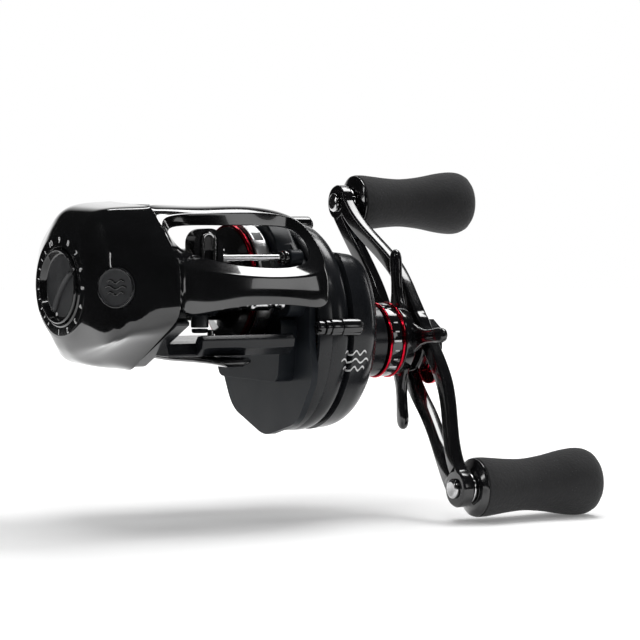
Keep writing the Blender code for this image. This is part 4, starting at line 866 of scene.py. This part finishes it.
def level_wind():
    carriage = slab("guide_housing", arch(GUIDE_HALF, -3.0, 14.8, 3.8), -25.8, -20.2, LACQUER, on(SPOOL),
        "Y")
    cut(carriage, bar_x(-12.0, 0.0, 2.95, WORM), bar_x(-12.0, 0.0, 1.15, ROD), slab("tool", arch(1.15, 9.1,
        13.6, 1.1), -30.0, -15.0, LACQUER, on(SPOOL), "Y"), slab("tool", arch(1.15, 5.2, 13.6, 1.1), -27.0,
        -24.6, LACQUER, on(SPOOL), "Y"), slab("tool", arch(2.5, 4.6, 14.2, 2.4), -27.0, -25.2, LACQUER,
        on(SPOOL), "Y"))
    fit(soften(carriage, 0.45, 4), "guide", "satin_black", "line_guide")
    fit(lathe("guide_tube", [(GUIDE_X - GUIDE_TUBE, 2.95), (GUIDE_X - GUIDE_TUBE, 3.8, 0.3),
        (GUIDE_X + GUIDE_TUBE, 3.8, 0.3), (GUIDE_X + GUIDE_TUBE, 2.95)], SATIN, on(WORM), sides=64),
        "guide", "satin_black", "line_guide")
    upward = rotate(-pi / 2, 4, "Y")
    fit(lathe("guide_pawl_boss", [(-10.6, 1.3), (-10.6, 2.3, 0.3), (-7.4, 2.3), (-7.4, 1.3)], SATIN,
        shift((GUIDE_X, WORM[0], SPOOL_Z)) @ upward, sides=48), "guide", "satin_black", "line_guide")
    fit(turned("pawl_cover", [(-12.0, 1.8, 0.3), (-11.6, 2.1, 0.1), (-10.9, 2.1, 0.1)], SATIN,
        shift((GUIDE_X, WORM[0], SPOOL_Z)) @ upward, sides=48), "guide", "satin_black", "pawl_cap")

    # Polished wire loop that the line runs through
    path = [(GUIDE_X - 1.62, -25.55, 5.3)]
    path += [(GUIDE_X - 1.62 * cos(pi * k / 16), -25.55, 12.0 + 1.5 * sin(pi * k / 16)) for k in range(17)]
    path += [(GUIDE_X + 1.62, -25.55, 5.3)]
    fit(wire("guide_loop", path, 0.46, STEEL, on(SPOOL), sides=12), "guide", "steel", "guide_insert")

    # Worm with left and right hand grooves
    bm = bmesh.new()
    sides, count, pitch, depth_full = 56, 150, 8.4, 0.6
    rings = []
    x0, x1 = -14.6, 17.2
    for i in range(count + 1):
        x = x0 + (x1 - x0) * i / count
        fade = min(1.0, (x - x0) / 1.2, (x1 - x) / 1.2)
        ring = []
        for k in range(sides):
            angle = 2 * pi * k / sides
            depth = 0.0
            for hand in (1, -1):
                phase = ((x - x0) / pitch + hand * angle / (2 * pi)) % 1.0
                away = min(phase, 1.0 - phase) * pitch
                depth = max(depth, min(1.0, max(0.0, (1.0 - away) / 0.4)))
            radius = 2.6 - depth_full * depth * max(0.0, fade)
            ring.append(bm.verts.new((x, radius * sin(angle), radius * cos(angle))))
        rings.append(ring)
    ends = [[(-18.0, 0.0), (-18.0, 1.1), (-17.9, 1.2), (-14.7, 1.2)], [(17.3, 1.4), (27.3, 1.4),
        (27.4, 1.3), (27.4, 0.0)]]
    turns = [2 * pi * k / sides for k in range(sides)]
    low, high = ([[bm.verts.new((x, radius * sin(a), radius * cos(a)))
        for a in (turns if radius else [0.0])] for x, radius in run] for run in ends)
    skin(bm, low + rings + high)
    fit(piece("worm_body", bm, STEEL, on(WORM)), "worm", "steel", "worm_shaft")

    fit(turned("guide_bar", [(-17.1, 0.85), (20.9, 0.85)], STEEL, on(ROD), sides=40), "reel_body", "steel",
        "guide_rod")
    fit(lathe("guide_bar_nut", [(15.5, 1.0), (15.5, 1.5, 0.15), (16.0, 1.6, 0.1), (16.1, 1.3), (16.5, 1.3),
        (16.6, 1.85, 0.15), (17.3, 1.85, 0.15), (17.4, 1.5), (17.8, 1.5, 0.1), (17.8, 1.0)], LACQUER,
        on(ROD), sides=48), "reel_body", "satin_black", "guide_rod_nut")


# ------------------------------------------------------------------ thumb bar

def thumb_bar():
    outline = bend([(18.5, 7.0, 1), (19.6, 8.2, 0.9), (26.6, 6.2, 1.6), (26.8, 3.4, 1), (24.0, 2.2, 1),
        (18.6, 2.2, 0.6)], steps=8)
    fit(soften(slab("thumb_pad", outline, -14.9, 17.2, LACQUER, on(SPOOL)), 0.35), "thumb", "gloss_black",
        "thumb_bar")
    fit(soften(block("thumb_tab", (16.6, 19.6, 2.9), (24.6, 22.5, 5.3), NYLON, on(SPOOL)), 0.3), "thumb",
        "gloss_black", "thumb_bar")
    for k in range(5):
        share = (k + 0.5) / 5
        y, z = 19.9 + 5.9 * share, 8.1 - 1.7 * share
        fit(wire(f"thumb_rib_{k}", [(-12.6, y, z), (-12.2, y, z + 0.1), (14.5, y, z + 0.1), (14.9, y, z)],
            0.3, NYLON, on(SPOOL), sides=8), "thumb", "gloss_black")


# ------------------------------------------------------------------ handle side controls

def tension_cap():
    outline = [(41.8, 0.0), (41.8, 3.2, 0.2), (44.2, 3.2), (44.2, 5.35, 0.2), (45.8, 5.55, 0.25),
        (46.35, 4.9, 0.3), (46.2, 4.2, 0.2), (46.3, 3.2, 0.2), (46.0, 2.2, 0.2), (46.0, 0.0)]
    fit(lathe("tension_cap", outline, SATIN, on(SPOOL), sides=160, ripple=(20, 0.42, 44.3, 45.9)),
        "tension", "satin_black", "cast_control_cap")


def collar_and_star():
    fit(lathe("collar_band", [(51.7, 3.2), (51.7, 6.0), (52.7, 6.0), (52.7, 10.0, 0.15), (55.7, 10.0, 0.15),
        (55.7, 6.0), (56.6, 6.0), (56.6, 3.2)], LACQUER, on(DRIVE), sides=128), "crank", "gloss_black",
        "drag_collar")
    for index in range(24):
        turn = on(DRIVE) @ rotate(2 * pi * index / 24, 4, "X")
        long = index % 3 == 0
        low, high = (53.1, 55.3) if long else (53.6, 54.8)
        fit(block(f"collar_tick_{index}", (low, -0.28 if long else -0.17, 9.96),
            (high, 0.28 if long else 0.17, 10.05), PRINT, turn), "crank", "gloss_black")
    for name, node, x in (("collar_red_inner", "collar_ring_inner", 51.8), ("collar_red_outer",
            "collar_ring_outer", 55.8)):
        ring = lathe(name, [(x, 6.4), (x, 10.2, 0.2), (x + 0.4, 10.38, 0.2), (x + 0.8, 10.2, 0.2),
            (x + 0.8, 6.4)], RED, on(DRIVE), sides=128)
        fit(ring, "crank", "red_anodised", node)

    star = lathe("star_wheel", [(56.9, 3.2), (56.9, 8.8, 0.4), (57.6, 9.5, 0.5), (60.6, 9.3, 0.8),
        (61.4, 7.4, 0.5), (61.9, 6.2, 0.4), (61.9, 3.2)], ANODISED, on(DRIVE), sides=128)
    fingers = []
    for index in range(4):
        turn = index * pi / 2 + radians(5.0)
        rings = []
        stations = [(6.0, 4.4, 1.1), (8.6, 4.0, 1.2), (10.4, 3.0, 1.25), (12.6, 2.2, 1.25),
            (15.5, 1.85, 1.25), (18.5, 1.9, 1.3), (21.0, 2.1, 1.35), (22.6, 2.0, 1.3), (23.7, 1.65, 1.1),
            (24.4, 1.1, 0.75), (24.75, 0.4, 0.3)]
        for out, half, thick in stations:
            ring = []
            for k in range(24):
                angle = 2 * pi * k / 24
                c, s = cos(angle), sin(angle)
                side = half * (abs(c) ** 0.75) * (1 if c >= 0 else -1)
                depth = thick * (abs(s) ** 0.75) * (1 if s >= 0 else -1)
                ring.append((60.3 + depth, side * cos(turn) + out * sin(turn), out * cos(turn) - side
                    * sin(turn)))
            rings.append(ring)
        fingers.append(loft("tool", rings, ANODISED, on(DRIVE)))
    join(star, *fingers)
    fit(star, "star", "gloss_metal", "star_drag")


# ------------------------------------------------------------------ handle

def arm_point(along, across, x):
    return (x, along * ARM_UP[0] + across * ARM_SIDE[0], along * ARM_UP[1] + across * ARM_SIDE[1])


def smooth_step(value):
    value = max(0.0, min(1.0, value))
    return value * value * (3 - 2 * value)


def arm_x(along):
    return 64.2 - 4.3 * smooth_step((abs(along) - 18.0) / 29.0)


def arm_spread(along):
    return 6.8 - 4.6 * smooth_step((abs(along) - 12.0) / 34.0)


def strut(side):
    rings = []
    half_width, half_thick = 2.2, 1.7
    outline = bend([(-half_width, -half_thick, 0.75), (half_width, -half_thick, 0.75),
        (half_width, half_thick, 0.75), (-half_width, half_thick, 0.75)], steps=5)
    for k in range(-32, 33):
        along = HANDLE_HALF * k / 32
        rings.append([arm_point(along, side * arm_spread(along) + across, arm_x(along) + depth) for across,
            depth in outline])
    return loft("tool", rings, ANODISED, on(DRIVE))


def handle():
    arm = lathe("handle_blade", [(62.5, 2.7), (62.5, 8.8, 0.5), (63.0, 9.2, 0.3), (65.4, 9.2, 0.4),
        (65.9, 8.7, 0.3), (65.9, 2.7)], ANODISED, on(DRIVE), sides=96)
    join(arm, strut(-1), strut(1))
    cut(arm, bar_x(50.0, 75.0, 2.7, DRIVE))
    for end in (1, -1):
        _, y, z = arm_point(end * HANDLE_HALF, 0.0, 0.0)
        axis = (DRIVE[0] + y, DRIVE[1] + z)
        eye = turned("tool", [(58.2, 4.6, 0.4), (58.7, 5.0, 0.2), (61.1, 5.0, 0.2), (61.6, 4.6, 0.4)],
            ANODISED, on(axis), sides=64)
        join(arm, eye)
        cut(arm, bar_x(50.0, 70.0, 2.3, axis))
        # Recessed web between the struts beside the eye
        web_run = [(end * (HANDLE_HALF - 13.5), 0.0), (end * (HANDLE_HALF - 12.0), 1.3),
            (end * (HANDLE_HALF - 4.6), 1.6), (end * (HANDLE_HALF - 4.6), -1.6),
            (end * (HANDLE_HALF - 12.0), -1.3)]
        rings = []
        for x in (59.3, 60.9):
            rings.append([arm_point(along, across,
                x + 0.6 * smooth_step((HANDLE_HALF - 4.0 - abs(along)) / 10.0)) for along,
                across in web_run])
        fit(loft(f"handle_web_{'upper' if end > 0 else 'lower'}", rings, MATT, on(DRIVE)), "crank",
            "gloss_metal")
    fit(arm, "crank", "gloss_metal", "handle_arm")

    outline = []
    for end in (1, -1):
        for k in range(25):
            angle = pi * k / 24
            _, y, z = arm_point(end * (14.0 - 6.2 + 6.2 * sin(angle)), 6.2 * cos(angle) * end, 0.0)
            outline.append((y, z))
    plate = slab("retainer", outline, 66.2, 67.3, RED, on(DRIVE))
    _, y, z = arm_point(-10.2, 0.0, 0.0)
    lock = (DRIVE[0] + y, DRIVE[1] + z)
    cut(plate, bar_x(60.0, 75.0, 2.7, DRIVE), bar_x(60.0, 75.0, 1.1, lock))
    fit(soften(plate, 0.22), "crank", "red_anodised", "retainer_plate")
    nut = slab("handle_nut_body", [(5.4 * sin(pi * k / 3), 5.4 * cos(pi * k / 3)) for k in range(6)], 67.6,
        71.3, ANODISED, on(DRIVE))
    join(nut, lathe("tool", [(67.9, 0.0), (67.9, 4.6), (71.4, 4.5, 0.6), (72.5, 2.8, 0.6), (72.6, 0.0)],
        ANODISED, on(DRIVE), sides=64))
    cut(nut, bar_x(60.0, 72.0, 2.6, DRIVE))
    fit(soften(nut, 0.25), "crank", "gloss_metal", "handle_nut")
    screw = turned("lock_screw", [(66.3, 0.75), (67.6, 0.75), (67.6, 1.7, 0.1), (68.2, 1.6, 0.25),
        (68.5, 1.2, 0.2)], STEEL, on(lock), sides=40)
    cut(screw, block("tool", (68.2, -2.0, -0.22), (69.0, 2.0, 0.22), STEEL, on(lock)))
    fit(screw, "crank", "steel", "nut_lock_screw")
    fit(turned("drive_axle", [(20.8, 2.1), (24.4, 2.1), (24.4, 2.9), (57.6, 2.9), (58.2, 2.3), (71.6, 2.3),
        (71.9, 1.9)], STEEL, on(DRIVE), sides=48), "crank", "steel", "drive_shaft")


def knob(label, end):
    _, y, z = arm_point(end * HANDLE_HALF, 0.0, 0.0)
    place = on((DRIVE[0] + y, DRIVE[1] + z))
    fit(lathe(f"pin_{label}", [(56.9, 0.0), (56.95, 1.9, 0.5), (57.3, 2.6, 0.35), (58.0, 2.65, 0.1),
        (58.0, 1.95), (61.9, 1.95), (61.9, 4.2, 0.15), (62.6, 4.2, 0.15), (62.6, 1.95), (95.4, 1.95),
        (95.8, 1.6), (95.8, 0.0)], STEEL, place, sides=64), "crank", "steel", f"knob_pin_{label}")
    body = f"{label}_knob"
    fit(lathe(f"cap_{label}", [(62.9, 2.4), (62.9, 4.9, 0.3), (63.2, 5.9, 0.4), (63.7, 7.1, 0.3),
        (64.0, 7.7, 0.12), (64.3, 7.72, 0.1), (64.3, 5.2), (66.4, 5.2), (66.4, 2.4)], LACQUER, place,
        sides=96), body, "gloss_black", f"knob_cap_{label}")
    curve = [Vector(p) for p in ((64.7, 7.85), (66.9, 7.85), (70.4, 7.5), (74.4, 7.1), (79.4, 6.9),
        (85.4, 7.5), (91.4, 8.6), (95.4, 9.05), (98.0, 8.9), (99.8, 8.2))]
    profile = [(96.8, 0.0), (96.8, 4.6), (66.8, 4.6), (66.8, 5.6), (64.5, 5.6), (64.5, 7.6)]
    profile += [tuple(p) for p in flow(curve, 4)]
    profile += [(100.8, 7.2), (101.2, 5.9), (101.35, 3.6), (101.4, 0.0)]
    grip = lathe(f"grip_{label}", profile, FOAM, place, sides=96)
    fit(grip, body, "eva_foam", f"knob_grip_{label}")


# ------------------------------------------------------------------ carried-over nodes

def carried_over():
    looks = {
        "palm_bearing": STEEL, "spool_bearing": STEEL, "shaft_bearing": STEEL, "anti_reverse_bearing": STEEL,
        "magnet_carrier": NYLON, "brake_magnet": NICKEL, "brake_rotor": ALUMINIUM, "clutch_sleeve": STEEL,
        "ratchet_wheel": STEEL, "drive_gear": BRASS, "pinion_gear": BRASS, "levelwind_drive_gear": NYLON,
        "levelwind_gear": NYLON, "drag_washer": CARBON, "pressure_plate": STEEL, "clutch_yoke": NYLON,
        "yoke_spring_front": STEEL, "yoke_spring_rear": STEEL, "clutch_cam": NYLON, "pawl": STEEL,
        "knob_bushing_upper": BRASS, "knob_bushing_lower": BRASS,
    }
    for name, look in looks.items():
        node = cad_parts[name]
        if not node.material_slots:
            node.data.materials.append(look)
        for place in node.material_slots:
            place.material = look


# ------------------------------------------------------------------ studio

LIGHTS = (  # name, place and aim in metres, size, power
    ("overhead_fill", (0.03, 0.0, 0.9), (0.03, 0.0, 0.0), (0.6, 0.6), 3.2),
    ("overhead_softbox", (0.31, 0.07, 0.6), (0.03, -0.01, 0.02), (0.3, 0.2), 1.7),
    ("back_softbox", (0.3, 0.56, 0.7), (0.0, 0.0, 0.02), (0.5, 0.1), 0.8),
    ("front_softbox", (0.3, -0.55, 0.15), (0.01, -0.02, 0.02), (0.1, 0.17), 0.1),
    ("front_strip", (-0.12, -0.5, 0.62), (0.02, -0.02, 0.02), (0.5, 0.03), 0.5),
    ("left_strip", (-0.7, 0.22, 0.3), (0.0, 0.0, 0.02), (0.05, 0.5), 0.4),
    ("side_strip", (0.7, -0.02, 0.16), (0.02, -0.02, 0.02), (0.06, 0.4), 0.3),
)
CAMERA_PLACE = (-0.25817, -0.55601, 0.0334)
CAMERA_AZIMUTH, CAMERA_ELEVATION, CAMERA_ROLL = radians(-28.165), radians(2.092), radians(-0.095)
CAMERA_LENS, CAMERA_SENSOR = 129.85, 36.0
BACK, SIDE = Vector((0.472, 0.882, 0.0)), Vector((0.882, -0.472, 0.0))  # level, along and across the view


def area_light(name, place, aim, size, power):
    lamp = bpy.data.lights.new(name, "AREA")
    lamp.shape = "RECTANGLE"
    lamp.size, lamp.size_y = size
    lamp.energy = power
    made = bpy.data.objects.new(name, lamp)
    made.location = place
    made.rotation_euler = (Vector(aim) - Vector(place)).to_track_quat("-Z", "Y").to_euler()
    bpy.context.scene.collection.objects.link(made)
    return made


def studio():
    scene = bpy.context.scene
    scene.view_settings.view_transform = "Standard"

    bm = bmesh.new()
    bm.faces.new([bm.verts.new(BACK * u + SIDE * v) for u, v in PAPER])
    paper = surface("floor_paper", (0.86, 0.86, 0.86), (0.89, 0.89, 0.89), (0.75, 0.85), grain=40.0,
        shine=0.0)
    floor = piece("studio_floor", bm, paper, shift((0.0, 0.0, FLOOR_Z)))
    tree = paper.node_tree
    far = node(tree, "VectorMath")
    far.operation = "LENGTH"
    tree.links.new(placed(tree).outputs["Object"], far.inputs[0])
    shader = tree.nodes["Principled BSDF"]
    shader.inputs["Emission Color"].default_value = (1.0, 1.0, 1.0, 1.0)
    tree.links.new(spread(tree, far.outputs["Value"], 0.1, 0.6, FLOOR_GLOW[0], FLOOR_GLOW[1]),
        shader.inputs["Emission Strength"])

    world = bpy.data.worlds.new("studio")
    scene.world = world
    world.use_nodes = True
    tree = world.node_tree
    background = tree.nodes["Background"]
    path = node(tree, "LightPath")
    facing = node(tree, "VectorMath")
    facing.operation = "DOT_PRODUCT"
    facing.inputs[1].default_value = BACK
    tree.links.new(node(tree, "TexCoord").outputs["Generated"], facing.inputs[0])
    strength = spread(tree, facing.outputs["Value"], 0.8, 0.95, ROOM_DARK, ROOM_BACKDROP)
    for ray, value in (("Is Diffuse Ray", ROOM_FILL), ("Is Camera Ray", 1.0)):
        strength = laid_over(tree, "FLOAT", path.outputs[ray], strength, value)
    tree.links.new(strength, background.inputs["Strength"])
    background.inputs["Color"].default_value = (1.0, 1.0, 1.0, 1.0)

    for light in LIGHTS:
        area_light(*light)
    bpy.data.objects["overhead_fill"].visible_glossy = False

    lens = bpy.data.cameras.new("photo_view")
    lens.sensor_width, lens.lens = CAMERA_SENSOR, CAMERA_LENS
    lens.clip_start, lens.clip_end = 0.01, 30.0
    camera = bpy.data.objects.new("photo_view", lens)
    level = cos(CAMERA_ELEVATION)
    forward = Vector((-sin(CAMERA_AZIMUTH) * level, cos(CAMERA_AZIMUTH) * level, -sin(CAMERA_ELEVATION)))
    turn = forward.to_track_quat("-Z", "Y").to_matrix() @ rotate(CAMERA_ROLL, 3, "Z")
    camera.matrix_world = shift(CAMERA_PLACE) @ turn.to_4x4()
    scene.collection.objects.link(camera)
    scene.camera = camera


palm_side()
brake_dial()
frame_pieces()
reel_foot()
front_cowl()
cover = gear_side()
cover_mark(cover)
spool_group()
level_wind()
thumb_bar()
tension_cap()
collar_and_star()
handle()
knob("upper", 1)
knob("lower", -1)
carried_over()
studio()
